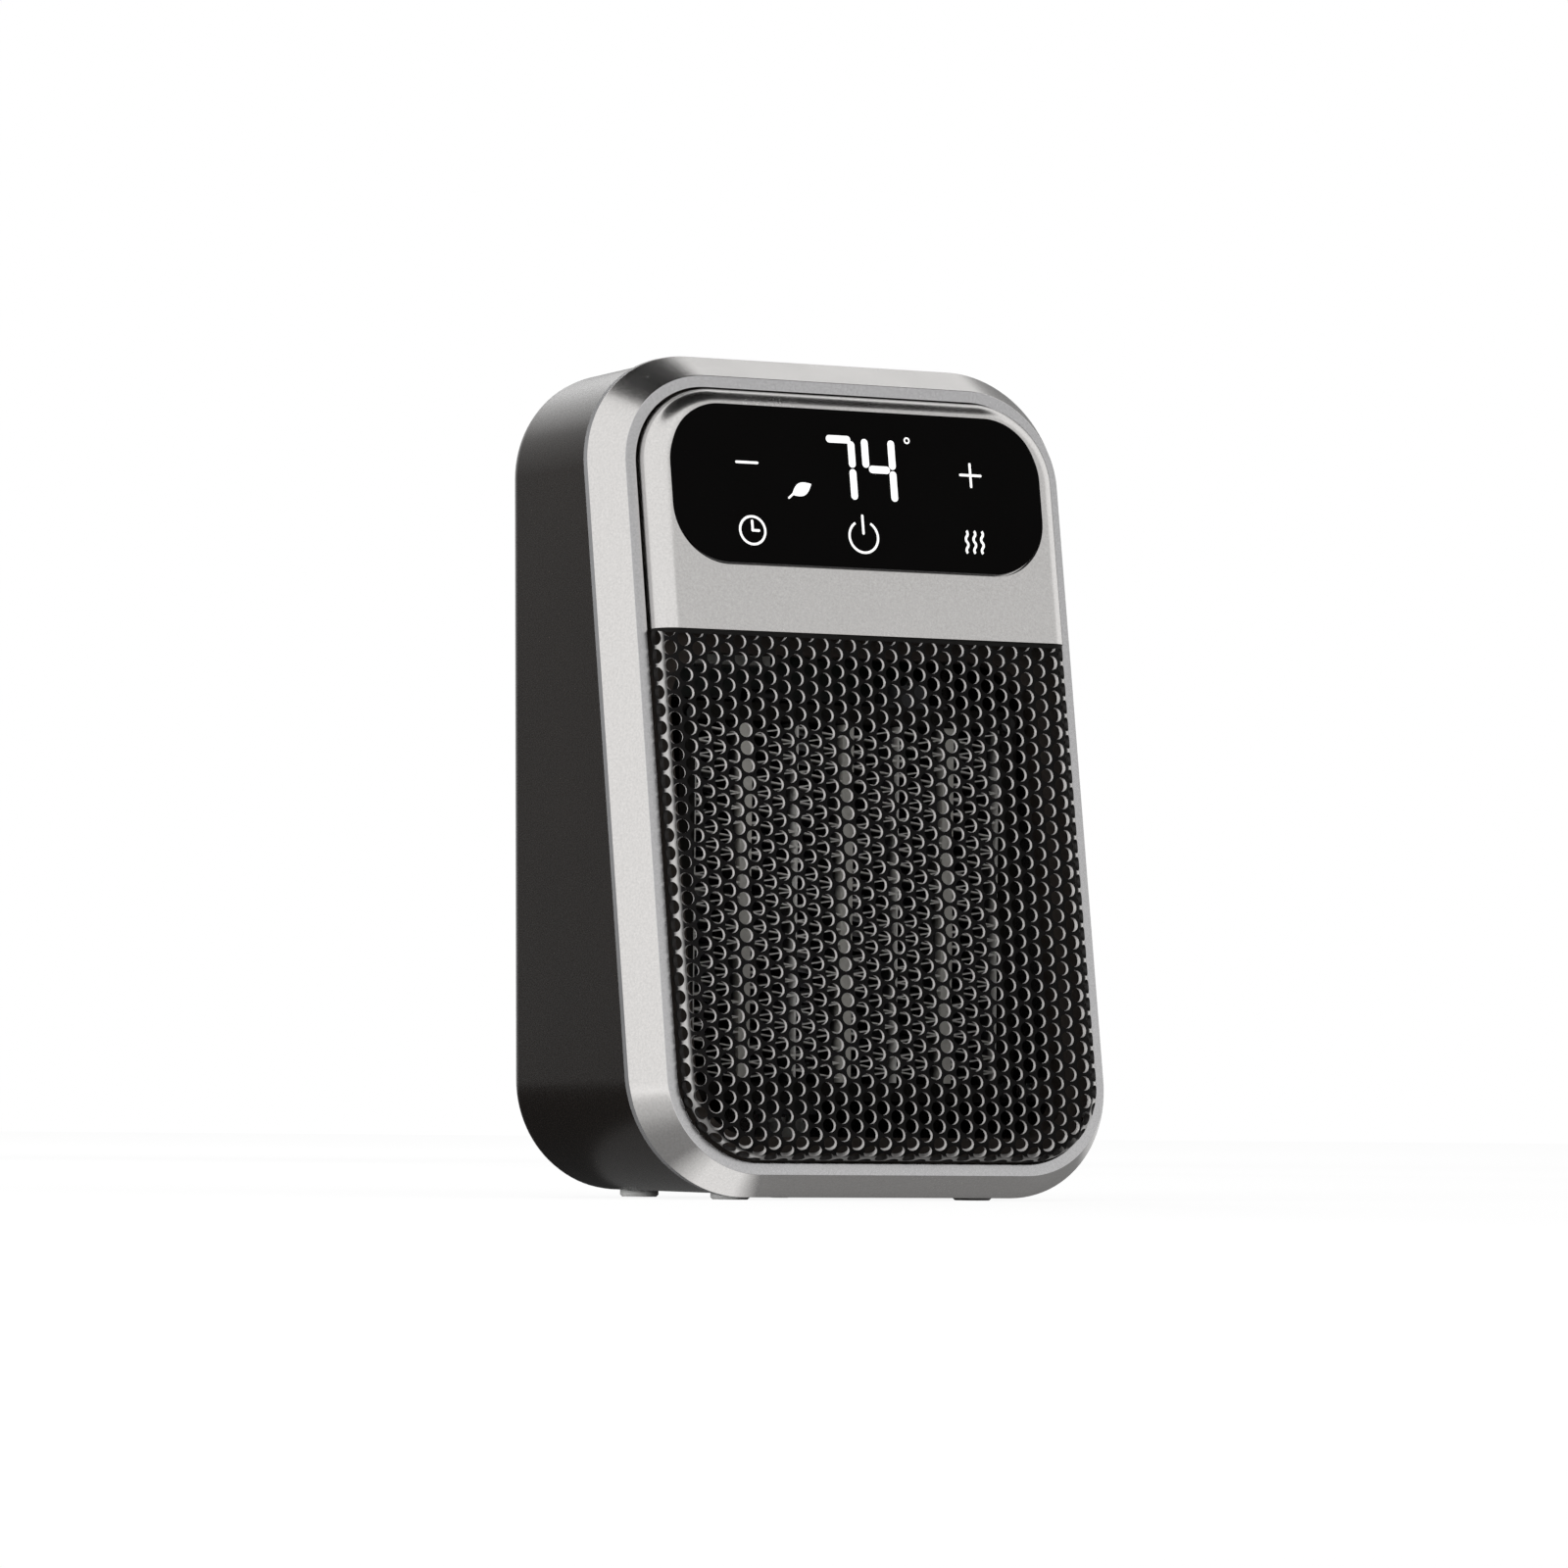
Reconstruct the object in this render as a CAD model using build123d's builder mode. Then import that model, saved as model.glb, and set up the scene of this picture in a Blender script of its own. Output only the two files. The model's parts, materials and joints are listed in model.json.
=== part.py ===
from build123d import *
import os
from math import cos, floor, pi, radians, sin, sqrt, tan

# Compact ceramic desktop heater, millimetres, +Z up, front towards -Y.
# The origin is the middle of the footprint, on the surface that the feet stand on.
# The front face leans back, and every front piece is placed by its offset behind the bezel's front face.

# Overall size
body_width = 152.8
body_height = 237.4
overall_depth = 107.0
front_lean = 9.6
rear_lean = 1.7
outline_radius = 33.6
foot_standoff = 0.8
overrun = 2.0
seat_gap = 0.15

# Bezel ring
bezel_chamfer_side = 6.4
bezel_chamfer_depth = 10.8
bezel_band = 3.4
bezel_rim = 2.2
bezel_skin = 2.3
bezel_inner_wall = 2.0
bezel_inner_depth = 9.0

# Front insert: the control panel above, the grille below
insert_gap = 1.4
insert_proud = 7.6
insert_edge_round = 5.0
insert_back = 3.0
panel_height = 80.2
panel_wall = 2.6
seam_gap = 0.3

# Perforated grille
grille_sheet = 0.9
hole_pitch = 5.0
hole_thinning = sqrt(3)
hole_width = 6.6
hole_margin = 1.2

# Display window
window_margin = 0.4
window_height = 45.6
window_top_gap = 0.3
window_radius = 17.0
window_thickness = 1.8
window_ledge = 6.0

# Display board behind the window
board_thickness = 1.6
display_board_inset = 1.8
display_board_corner = 8.0
display_board_gap = 6.0
board_post_radius = 2.6
board_post_inset = 5.0
digit_width = 26.0
digit_height = 22.0
digit_place = 2.0
digit_rise = 2.6
touch_radius = 3.4
touch_wall = 0.8
touch_side_share = 0.3
touch_leaf_share = 0.15
window_key_drop = 15.8

# Inner front frame
frame_fit = 0.3
frame_flange = 2.8
frame_flange_inset = 3.7
frame_pad_width = 7.0
frame_bar_height = 12.0
frame_boss_radius = 4.2
frame_boss_length = 7.0

# Rear housing
housing_inset = 0.9
housing_wall = 2.4
housing_taper = 1.4
housing_rear_round = 8.0
post_radius = 4.5
post_side_inset = 15.4
post_low = 31.0
post_top_inset = 30.2
screw_radius = 1.4
screw_clearance = 0.3
screw_head_radius = 2.8
screw_head_height = 2.0
screw_floor = 7.0
screw_bite = 6.0
driver_clearance = 0.5

# Air intake in the back
intake_radius = 47.0
intake_slot = 3.4
intake_pitch = 6.6
intake_rib = 4.0

# Heating element
element_depth_place = 30.7
core_depth = 14.6
core_low = 33.1
core_top_gap = 24.9
core_side_gap = 27.2
bar_width = 3.6
fin_thickness = 0.35
fin_rise = 2.1
divider_width = 0.6
element_modules = 3
holder_wall = 5.0
holder_fit = 0.3
holder_lip = 1.5
holder_lip_depth = 1.6
holder_front = 1.0
corner_screw_inset = 3.6
small_screw_radius = 1.1
small_head_radius = 2.2
small_head_height = 1.4
small_screw_bite = 6.0
board_screw_length = 4.0
duct_post_radius = 3.6

# Thermal cut-off and fuse on the holder
cutoff_radius = 7.0
cutoff_height = 6.5
cutoff_x = 22.0
cutoff_flange_width = 24.0
cutoff_flange_depth = 9.0
cutoff_flange = 1.2
fuse_radius = 2.2
fuse_length = 11.0
fuse_x = 24.0
fuse_cradle = 1.4
fuse_cradle_length = 6.0
fuse_cradle_width = 6.0

# Air duct, from the element's rectangle to the fan's circle
duct_flange = 2.5
duct_wall = 2.0
duct_loft = 9.0
duct_ring = 20.0
duct_bore = 45.2
duct_corner = 12.0

# Fan
blade_count = 7
blade_tip = 41.6
blade_root_chord = 15.0
blade_tip_chord = 23.0
blade_root_pitch = 46.0
blade_tip_pitch = 24.0
blade_camber = 2.6
blade_thickness = 1.6
blade_root_share = 0.75
hub_radius = 17.0
hub_wall = 2.0
hub_length = 13.0
hub_boss = 4.5
hub_setback = 4.6
shaft_radius = 1.6
shaft_front = 1.0
shaft_fit = 0.05
press_fit = 0.02
motor_radius = 18.0
motor_length = 13.0
motor_gap = 1.6
motor_edge = 1.5
motor_cap = 1.0
bush_radius = 4.0
bush_length = 2.6
strut_count = 4
strut_width = 5.0
strut_depth = 2.6
bracket_ring = 6.0
cup_wall = 2.0
cup_depth = 6.0
motor_fit = 0.1

# Power board and what stands on it
power_board_side_gap = 24.4
power_board_duct_gap = 3.9
power_board_top_gap = 32.2
power_board_setback = 17.0
power_post_inset = 5.0
power_post_radius = 3.4
relay_width = 19.0
relay_height = 15.5
relay_depth = 15.0
relay_share = -0.33
relay_step = 22.0
relay_rise_share = 0.68
transformer_width = 30.0
transformer_height = 22.0
transformer_depth = 18.0
transformer_share = 0.27
transformer_rise_share = 0.65
capacitor_width = 18.0
capacitor_height = 9.0
capacitor_depth = 15.0
capacitor_share = 0.23
capacitor_rise_share = 0.26
terminal_width = 40.0
terminal_height = 11.0
terminal_depth = 13.0
terminal_share = -0.25
terminal_rise_share = 0.23
terminal_ways = 4
terminal_hole = 2.0
component_edge = 0.8

# Rear power switch
switch_x = 36.0
switch_rise = 20.0
switch_flange_width = 21.0
switch_flange_height = 15.0
switch_flange = 1.8
switch_body_width = 18.8
switch_body_height = 12.8
switch_body_depth = 16.0
switch_corner = 1.0
key_length = 14.6
key_height = 9.0
key_clearance = 0.35
key_swing_room = 0.9
key_cavity = 8.0
key_base = 4.6
key_crown = 3.8
key_end = 4.9
key_pivot_depth = 1.6
key_tilt = 8.0
key_pin_radius = 1.2
key_pin_length = 1.2
key_pin_end_gap = 0.1

# Cord inlet
gland_x = 36.0
gland_rise = 20.0
gland_radius = 7.5
gland_neck = 5.6
gland_bore = 3.7
gland_flange = 2.4
gland_nut_radius = 8.0
gland_nut = 4.0
gland_edge = 0.8

# Tip-over switch in the base
tip_y = 20.0
tip_hole = 3.6
tip_stem = 3.2
tip_travel = 3.0
tip_stop_gap = 0.3
tip_pad = 0.6
tip_cage_radius = 7.4
tip_cage_bore = 5.6
tip_cage_top = 2.0
tip_cage_height = 17.0
tip_collar = 5.0
tip_collar_height = 2.0
tip_pin = 1.5
tip_pin_hole = 1.9
tip_pin_reach = 1.4
tip_nose = 0.8
spring_wire = 0.6
spring_turns = 4
spring_radius = 3.0
spring_gap = 0.1
microswitch_width = 20.0
microswitch_depth = 6.4
microswitch_height = 10.2
microswitch_lift = 2.2
microswitch_rib = 2.4
microswitch_button = 1.0
microswitch_press = 0.3

# Room temperature sensor beside the intake
sensor_radius = 2.2
sensor_length = 5.0
sensor_post = 1.8
sensor_reach = 9.0
sensor_side_inset = 20.4
sensor_rise = 120.0

# Rubber feet
foot_radius = 5.5
foot_height = 3.2
foot_side_inset = 37.4
foot_front = 26.0
foot_rear_gap = 14.5
foot_edge = 0.6

# Sizes and places worked out from the ones above
front_slope = tan(radians(front_lean))
front_cos = cos(radians(front_lean))
front_sin = sin(radians(front_lean))
rear_cos = cos(radians(rear_lean))
rear_slope = tan(radians(rear_lean))
slope_height = body_height / front_cos
mid_z = foot_standoff + body_height / 2
opening_inset = bezel_chamfer_side + bezel_band
insert_inset = opening_inset + insert_gap
front_reach = (
    insert_proud
    - (insert_inset + insert_edge_round) * front_slope
    - insert_edge_round * (1 / front_cos - 1)
)
front_y = -overall_depth / 2 + front_reach
bezel_back = bezel_chamfer_depth + bezel_rim
frame_back = bezel_inner_depth + frame_flange
rear_high_z = foot_standoff + body_height - housing_inset - housing_taper - housing_rear_round
panel_line = slope_height / 2 - panel_height
housing_back_inset = housing_inset + housing_taper
face_half_width = body_width / 2 - insert_inset - insert_edge_round
window_width = 2 * (face_half_width - window_margin)
window_top = slope_height / 2 - insert_inset - insert_edge_round + window_top_gap
window_middle = window_top - window_height / 2
display_board_width = window_width - 2 * display_board_inset
display_board_height = window_height - 2 * display_board_inset
touch_side = touch_side_share * window_width
touch_leaf = touch_leaf_share * window_width
post_x = body_width / 2 - post_side_inset
post_high = foot_standoff + body_height - post_top_inset
core_high = mid_z + panel_line * front_cos - core_top_gap
core_height = core_high - core_low
element_height = (core_low + core_high) / 2
core_width = body_width - 2 * core_side_gap
core_solid = element_modules * bar_width + (element_modules + 1) * divider_width
fin_width = (core_width - core_solid) / (2 * element_modules)
foot_x = body_width / 2 - foot_side_inset
sensor_x = body_width / 2 - sensor_side_inset


def slope_y(z):
    """Y of the bezel's front face at height z."""
    return front_y + (z - foot_standoff) * front_slope


def rear_y(z):
    """Y of the housing's outer back at height z."""
    return overall_depth / 2 + (z - rear_high_z) * rear_slope


def slope_plane(offset):
    """Plane of the leaning front, moved back by offset, seen from the front."""
    middle = (0, slope_y(mid_z) + offset, mid_z)
    return Plane(origin=middle, x_dir=(1, 0, 0), z_dir=(0, -front_cos, front_sin))


def back_plane(depth, x=0, z=mid_z):
    """Plane parallel to the housing's back, at a depth inside it, seen from the front."""
    normal = Vector(0, -rear_cos, sin(radians(rear_lean)))
    return Plane(origin=Vector(x, rear_y(z), z) + normal * depth, x_dir=(1, 0, 0), z_dir=normal)


def upright(y, x=0, z=0):
    """Vertical plane at y whose normal points to the front."""
    return Plane(origin=(x, y, z), x_dir=(1, 0, 0), z_dir=(0, -1, 0))


def outline(inset, mode=Mode.ADD):
    """The heater's rounded outline in the leaning plane, drawn in by inset."""
    width = body_width - 2 * inset
    RectangleRounded(width, slope_height - 2 * inset, outline_radius - inset, mode=mode)


def back_outline(inset):
    """The outline on the housing's back, drawn in less below so that the base runs level."""
    height = (body_height - 2 * inset + housing_taper) / rear_cos
    with Locations((0, -housing_taper / 2 / rear_cos)):
        RectangleRounded(body_width - 2 * inset, height, outline_radius - inset)


def across_plane(rise):
    """Plane square to the front face, at a rise up the slope from its middle."""
    lift = Vector(0, rise * front_sin, rise * front_cos)
    origin = slope_plane(0).origin + lift
    return Plane(origin=origin, x_dir=(1, 0, 0), z_dir=(0, front_sin, front_cos))


# Front bezel: a chamfered ring, hollow behind, with an inner wall round the insert
with BuildPart() as front_bezel:
    with BuildSketch(slope_plane(bezel_chamfer_depth)):
        outline(0)
    with BuildSketch(slope_plane(0)):
        outline(bezel_chamfer_side)
    loft(ruled=True)
    with BuildSketch(slope_plane(bezel_chamfer_depth)):
        outline(0)
    extrude(amount=bezel_rim, dir=(0, 1, 0))
    # Hollow behind the chamfer, following it
    skin_inset = bezel_chamfer_side * (1 - bezel_skin / bezel_chamfer_depth) + bezel_skin
    with BuildSketch(slope_plane(bezel_skin)):
        outline(skin_inset)
    with BuildSketch(slope_plane(bezel_chamfer_depth)):
        outline(bezel_skin)
    loft(ruled=True, mode=Mode.SUBTRACT)
    with BuildSketch(slope_plane(bezel_chamfer_depth)):
        outline(bezel_skin)
    extrude(amount=bezel_rim + overrun, dir=(0, 1, 0), mode=Mode.SUBTRACT)
    # Opening for the insert, and the wall round it
    with BuildSketch(slope_plane(-overrun)):
        outline(opening_inset)
    extrude(amount=bezel_back + 2 * overrun, dir=(0, 1, 0), mode=Mode.SUBTRACT)
    with BuildSketch(slope_plane(0)):
        outline(opening_inset - bezel_inner_wall)
        outline(opening_inset, mode=Mode.SUBTRACT)
    extrude(amount=bezel_inner_depth, dir=(0, 1, 0))
front_bezel.part.label = "front_bezel"

# Pillow shape that the control panel and the grille share, and the hollows inside each
with BuildPart() as insert_form:
    with BuildSketch(slope_plane(insert_back)):
        outline(insert_inset)
    extrude(amount=insert_back + insert_proud, dir=(0, -1, 0))
    fillet(insert_form.faces().sort_by(Axis.Y)[0].edges(), insert_edge_round)

with BuildPart() as panel_core:
    with BuildSketch(slope_plane(insert_back + overrun)):
        outline(insert_inset + panel_wall)
    extrude(amount=insert_back + overrun + insert_proud - panel_wall, dir=(0, -1, 0))
    fillet(panel_core.faces().sort_by(Axis.Y)[0].edges(), insert_edge_round - panel_wall)
    split(bisect_by=across_plane(panel_line + seam_gap / 2 + panel_wall), keep=Keep.TOP)

with BuildPart() as grille_core:
    with BuildSketch(slope_plane(insert_back + overrun)):
        outline(insert_inset + grille_sheet)
    extrude(amount=insert_back + overrun + insert_proud - grille_sheet, dir=(0, -1, 0))
    fillet(grille_core.faces().sort_by(Axis.Y)[0].edges(), insert_edge_round - grille_sheet)

# Control panel: the insert above the seam, with a pocket for the window
window_back = window_thickness - insert_proud
with BuildPart() as control_panel:
    add(insert_form.part)
    split(bisect_by=across_plane(panel_line + seam_gap / 2), keep=Keep.TOP)
    add(panel_core.part, mode=Mode.SUBTRACT)
    with BuildSketch(slope_plane(window_back)):
        with Locations((0, window_middle)):
            RectangleRounded(window_width, window_height, window_radius)
    extrude(amount=window_thickness + overrun, dir=(0, -1, 0), mode=Mode.SUBTRACT)
    with BuildSketch(slope_plane(window_back - overrun)):
        with Locations((0, window_middle)):
            RectangleRounded(
                window_width - 2 * window_ledge,
                window_height - 2 * window_ledge,
                window_radius - window_ledge,
            )
    extrude(amount=panel_wall + 2 * overrun, dir=(0, 1, 0), mode=Mode.SUBTRACT)
    # Posts that carry the display board
    with BuildSketch(slope_plane(window_back)):
        with Locations((0, window_middle)):
            with GridLocations(
                display_board_width - 2 * board_post_inset,
                display_board_height - 2 * board_post_inset,
                2,
                2,
            ):
                Circle(board_post_radius)
    extrude(amount=display_board_gap, dir=(0, 1, 0))
control_panel.part.label = "control_panel"

# Display window: gloss lens that sits in the pocket, flush with the panel
with BuildPart() as display_window:
    with BuildSketch(slope_plane(window_back)):
        with Locations((0, window_middle)):
            RectangleRounded(
                window_width - 2 * seat_gap,
                window_height - 2 * seat_gap,
                window_radius - seat_gap,
            )
    extrude(amount=window_thickness, dir=(0, -1, 0))
display_window.part.label = "display_window"

# Display board on the panel's posts, with the digits and the touch pads before it
board_front = window_back + display_board_gap
with BuildPart() as display_board:
    with BuildSketch(slope_plane(board_front)):
        with Locations((0, window_middle)):
            RectangleRounded(display_board_width, display_board_height, display_board_corner)
    extrude(amount=board_thickness, dir=(0, 1, 0))
display_board.part.label = "display_board"

with BuildPart() as digit_module:
    with BuildSketch(slope_plane(board_front)):
        with Locations((digit_place, window_middle + digit_rise)):
            Rectangle(digit_width, digit_height)
    extrude(amount=display_board_gap, dir=(0, -1, 0))
digit_module.part.label = "digit_module"

touch_places = [(-touch_side, digit_rise), (touch_side, digit_rise), (-touch_leaf, 0)]
touch_places += [(x, digit_rise - window_key_drop) for x in (-touch_side, 0, touch_side)]
with BuildPart() as touch_pads:
    with BuildSketch(slope_plane(board_front)):
        with Locations(*[(x, window_middle + y) for x, y in touch_places]):
            Circle(touch_radius)
            Circle(touch_radius - touch_wall, mode=Mode.SUBTRACT)
    extrude(amount=display_board_gap, dir=(0, -1, 0))
touch_pads.part.label = "touch_pads"

# Perforated grille: a pressed sheet whose edge rolls back, with staggered holes
# Each hole here stands for three of the sheet's own, on the same lattice
with BuildPart() as front_grille:
    add(insert_form.part)
    split(bisect_by=across_plane(panel_line - seam_gap / 2), keep=Keep.BOTTOM)
    add(grille_core.part, mode=Mode.SUBTRACT)
    coarse_pitch = hole_pitch * hole_thinning
    column_step = coarse_pitch * sqrt(3) / 2
    grille_top = panel_line - seam_gap / 2 - hole_margin - hole_width / 2
    grille_bottom = insert_inset + insert_edge_round + hole_margin + hole_width / 2 - slope_height / 2
    grille_side = face_half_width - hole_margin - hole_width / 2
    corner_reach = outline_radius - insert_inset - insert_edge_round - hole_margin - hole_width / 2
    columns = floor(grille_side / column_step)
    holes = []
    for column in range(-columns, columns + 1):
        x = column * column_step
        shift = coarse_pitch / 2 if column % 2 else 0
        for row in range(floor((grille_top - grille_bottom) / coarse_pitch) + 1):
            y = grille_top - shift - row * coarse_pitch
            past_x = abs(x) - (grille_side - corner_reach)
            past_y = grille_bottom + corner_reach - y
            in_corner = past_x > 0 and past_y > 0
            if y < grille_bottom or (in_corner and past_x**2 + past_y**2 > corner_reach**2):
                continue
            holes.append((x, y))
    with BuildSketch(slope_plane(-insert_proud - overrun)):
        with Locations(*holes):
            RegularPolygon(hole_width / 2, 6)
    extrude(amount=grille_sheet + 2 * overrun, dir=(0, 1, 0), mode=Mode.SUBTRACT)
front_grille.part.label = "front_grille"

# Inner front frame: a flange behind the bezel's inner wall, and a pad that the insert sits on
pad_inset = opening_inset + frame_fit
frame_inner = pad_inset + frame_pad_width
posts = [(x, z) for x in (-post_x, post_x) for z in (post_low, post_high)]
with BuildPart() as front_frame:
    with BuildSketch(slope_plane(insert_back)):
        outline(pad_inset)
    extrude(amount=frame_back - insert_back, dir=(0, 1, 0))
    with BuildSketch(slope_plane(bezel_inner_depth)):
        outline(frame_flange_inset)
    extrude(amount=frame_flange, dir=(0, 1, 0))
    # Boss behind the flange for each housing screw
    for x, z in posts:
        with BuildSketch(upright(slope_y(z) + bezel_inner_depth + frame_flange / 2, x, z)):
            Circle(frame_boss_radius)
        extrude(amount=-(frame_flange / 2 + frame_boss_length))
    # Openings for the air and for the display board, with a bar between them
    air_top = panel_line - frame_bar_height / 2
    air_bottom = frame_inner - slope_height / 2
    bay_bottom = panel_line + frame_bar_height / 2
    bay_top = slope_height / 2 - frame_inner
    frame_corner = outline_radius - frame_inner
    for low, high in ((air_bottom, air_top), (bay_bottom, bay_top)):
        with BuildSketch(slope_plane(insert_back - overrun)):
            with Locations((0, (low + high) / 2)):
                RectangleRounded(body_width - 2 * frame_inner, high - low, frame_corner)
        extrude(amount=frame_back - insert_back + 2 * overrun, dir=(0, 1, 0), mode=Mode.SUBTRACT)
    # Screw holes in the bosses
    for x, z in posts:
        boss_end = slope_y(z) + frame_back + frame_boss_length
        with BuildSketch(upright(boss_end, x, z)):
            Circle(screw_radius + press_fit)
        extrude(amount=screw_bite, mode=Mode.SUBTRACT)
front_frame.part.label = "front_frame"


# Outer and inner forms of the rear housing
with BuildPart() as housing_form:
    with BuildSketch(slope_plane(bezel_back)):
        outline(housing_inset)
    with BuildSketch(back_plane(0)):
        back_outline(housing_back_inset)
    loft(ruled=True)
    fillet(housing_form.faces().sort_by(Axis.Y)[-1].edges(), housing_rear_round)

with BuildPart() as housing_core:
    with BuildSketch(slope_plane(bezel_back - overrun)):
        outline(housing_inset + housing_wall)
    with BuildSketch(back_plane(housing_wall)):
        back_outline(housing_back_inset + housing_wall)
    loft(ruled=True)
    fillet(housing_core.faces().sort_by(Axis.Y)[-1].edges(), housing_rear_round - housing_wall)

# Places inside the housing
holder_width = core_width + 2 * (holder_fit + holder_wall)
holder_height = core_height + 2 * (holder_fit + holder_wall)
duct_width = core_width - 2 * holder_lip
duct_height = core_height - 2 * holder_lip
core_front = front_y + element_depth_place
core_back = core_front + core_depth
holder_back = core_back + holder_lip_depth
duct_back = holder_back + duct_flange
ring_front = duct_back + duct_loft
ring_back = ring_front + duct_ring
corner_x = holder_width / 2 - corner_screw_inset
corner_z = holder_height / 2 - corner_screw_inset
corners = [(x, element_height + z) for x in (-corner_x, corner_x) for z in (-corner_z, corner_z)]
power_board_width = body_width - 2 * power_board_side_gap
power_board_bottom = element_height + holder_height / 2 + power_board_duct_gap
power_board_height = foot_standoff + body_height - power_board_top_gap - power_board_bottom
board_middle = power_board_bottom + power_board_height / 2
relay_x = relay_share * power_board_width
relay_rise = relay_rise_share * power_board_height
transformer_x = transformer_share * power_board_width
transformer_rise = transformer_rise_share * power_board_height
capacitor_x = capacitor_share * power_board_width
capacitor_rise = capacitor_rise_share * power_board_height
terminal_x = terminal_share * power_board_width
terminal_rise = terminal_rise_share * power_board_height
board_back = rear_y(board_middle) - housing_wall - power_board_setback
board_face = board_back - board_thickness
board_post_x = power_board_width / 2 - power_post_inset
board_post_z = power_board_height / 2 - power_post_inset
board_post_rows = (board_middle - board_post_z, board_middle + board_post_z)
board_posts = [(x, z) for x in (-board_post_x, board_post_x) for z in board_post_rows]
foot_rows = (front_y + foot_front, rear_y(foot_standoff) - foot_rear_gap)
foot_places = [(x, y) for x in (-foot_x, foot_x) for y in foot_rows]
floor_z = foot_standoff + housing_inset
tip_seat = floor_z + housing_wall + tip_pad

# Rear housing: a deep tub with posts for the front frame, the duct and the power board
with BuildPart() as rear_housing:
    add(housing_form.part)
    add(housing_core.part, mode=Mode.SUBTRACT)
    for x, z in posts:
        with BuildSketch(upright(slope_y(z) + frame_back + frame_boss_length, x, z)):
            Circle(post_radius)
        extrude(amount=slope_y(z) + frame_back + frame_boss_length + housing_wall / 2 - rear_y(z))
    for x, z in corners:
        with BuildSketch(upright(duct_back, x, z)):
            Circle(duct_post_radius)
        extrude(amount=duct_back + housing_wall / 2 - rear_y(z))
    for x, z in board_posts:
        with BuildSketch(upright(board_back, x, z)):
            Circle(power_post_radius)
        extrude(amount=board_back + housing_wall / 2 - rear_y(z))
    with BuildSketch(upright(rear_y(sensor_rise) - housing_wall / 2, sensor_x, sensor_rise)):
        Circle(sensor_post)
    extrude(amount=sensor_reach)
    # Pad round the tip-over plunger
    with BuildSketch(Plane.XY.offset(tip_seat)):
        with Locations((0, tip_y)):
            Circle(tip_cage_radius + tip_pad)
    extrude(amount=floor_z + housing_wall / 2 - tip_seat)
    # Screw holes, with deep wells for the driver from behind
    for x, z in posts:
        boss_end = slope_y(z) + frame_back + frame_boss_length
        with BuildSketch(upright(boss_end - overrun, x, z)):
            Circle(screw_radius + screw_clearance)
        extrude(amount=-(screw_floor + 2 * overrun), mode=Mode.SUBTRACT)
        with BuildSketch(upright(boss_end + screw_floor, x, z)):
            Circle(screw_head_radius + driver_clearance)
        extrude(amount=boss_end + screw_floor - rear_y(z) - overrun, mode=Mode.SUBTRACT)
    for x, z in corners:
        with BuildSketch(upright(duct_back, x, z)):
            Circle(small_screw_radius + press_fit)
        extrude(amount=-(small_screw_bite + overrun), mode=Mode.SUBTRACT)
    for x, z in board_posts:
        with BuildSketch(upright(board_back, x, z)):
            Circle(small_screw_radius + press_fit)
        extrude(amount=-(small_screw_bite + overrun), mode=Mode.SUBTRACT)
    # Intake: rows of slots that fill a circle behind the fan, with a rib down the middle
    slot_rows = floor((intake_radius - intake_slot / 2) / intake_pitch)
    slots = []
    for row in range(-slot_rows, slot_rows + 1):
        rise = row * intake_pitch
        reach = sqrt(intake_radius**2 - (abs(rise) + intake_slot / 2) ** 2)
        slots.append((rise, reach - intake_rib / 2))
    with BuildSketch(back_plane(-overrun, 0, element_height)):
        for rise, length in slots:
            for side in (-1, 1):
                with Locations((side * (intake_rib + length) / 2, rise)):
                    Rectangle(length, intake_slot)
    extrude(amount=housing_wall + 2 * overrun, mode=Mode.SUBTRACT)
    # Openings for the power switch, the cord inlet and the plunger, and pockets for the feet
    with BuildSketch(back_plane(-overrun, switch_x, switch_rise)):
        Rectangle(switch_body_width + 2 * seat_gap, switch_body_height + 2 * seat_gap)
    extrude(amount=housing_wall + 2 * overrun, mode=Mode.SUBTRACT)
    with BuildSketch(back_plane(-overrun, -gland_x, gland_rise)):
        Circle(gland_neck + seat_gap)
    extrude(amount=housing_wall + 2 * overrun, mode=Mode.SUBTRACT)
    with BuildSketch(Plane.XY):
        with Locations((0, tip_y)):
            Circle(tip_hole)
    extrude(amount=tip_seat + overrun, mode=Mode.SUBTRACT)
    with BuildSketch(Plane.XY):
        with Locations(*foot_places):
            Circle(foot_radius + seat_gap)
    extrude(amount=foot_height, mode=Mode.SUBTRACT)
rear_housing.part.label = "rear_housing"

with BuildPart() as rubber_feet:
    with BuildSketch(Plane.XY):
        with Locations(*foot_places):
            Circle(foot_radius)
    extrude(amount=foot_height)
    chamfer(rubber_feet.faces().group_by(Axis.Z)[0].edges(), foot_edge)
rubber_feet.part.label = "rubber_feet"

# Screws that draw the housing to the front frame
with BuildPart() as housing_screws:
    for x, z in posts:
        head = slope_y(z) + frame_back + frame_boss_length + screw_floor
        with BuildSketch(upright(head, x, z)):
            Circle(screw_head_radius)
        extrude(amount=-screw_head_height)
        with BuildSketch(upright(head, x, z)):
            Circle(screw_radius)
        extrude(amount=screw_floor + screw_bite - screw_clearance)
housing_screws.part.label = "housing_screws"

# Heating element: bars with ceramic stones, corrugated fins on both sides of each, dividers between
module_width = 2 * fin_width + bar_width + divider_width
module_places = [(k - (element_modules - 1) / 2) * module_width for k in range(element_modules)]
divider_places = [(k - element_modules / 2) * module_width for k in range(element_modules + 1)]
with BuildPart() as element_bars:
    with BuildSketch(upright(core_back, 0, element_height)):
        with Locations(*[(x, 0) for x in module_places]):
            Rectangle(bar_width, core_height)
    extrude(amount=core_depth)
element_bars.part.label = "element_bars"

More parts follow.
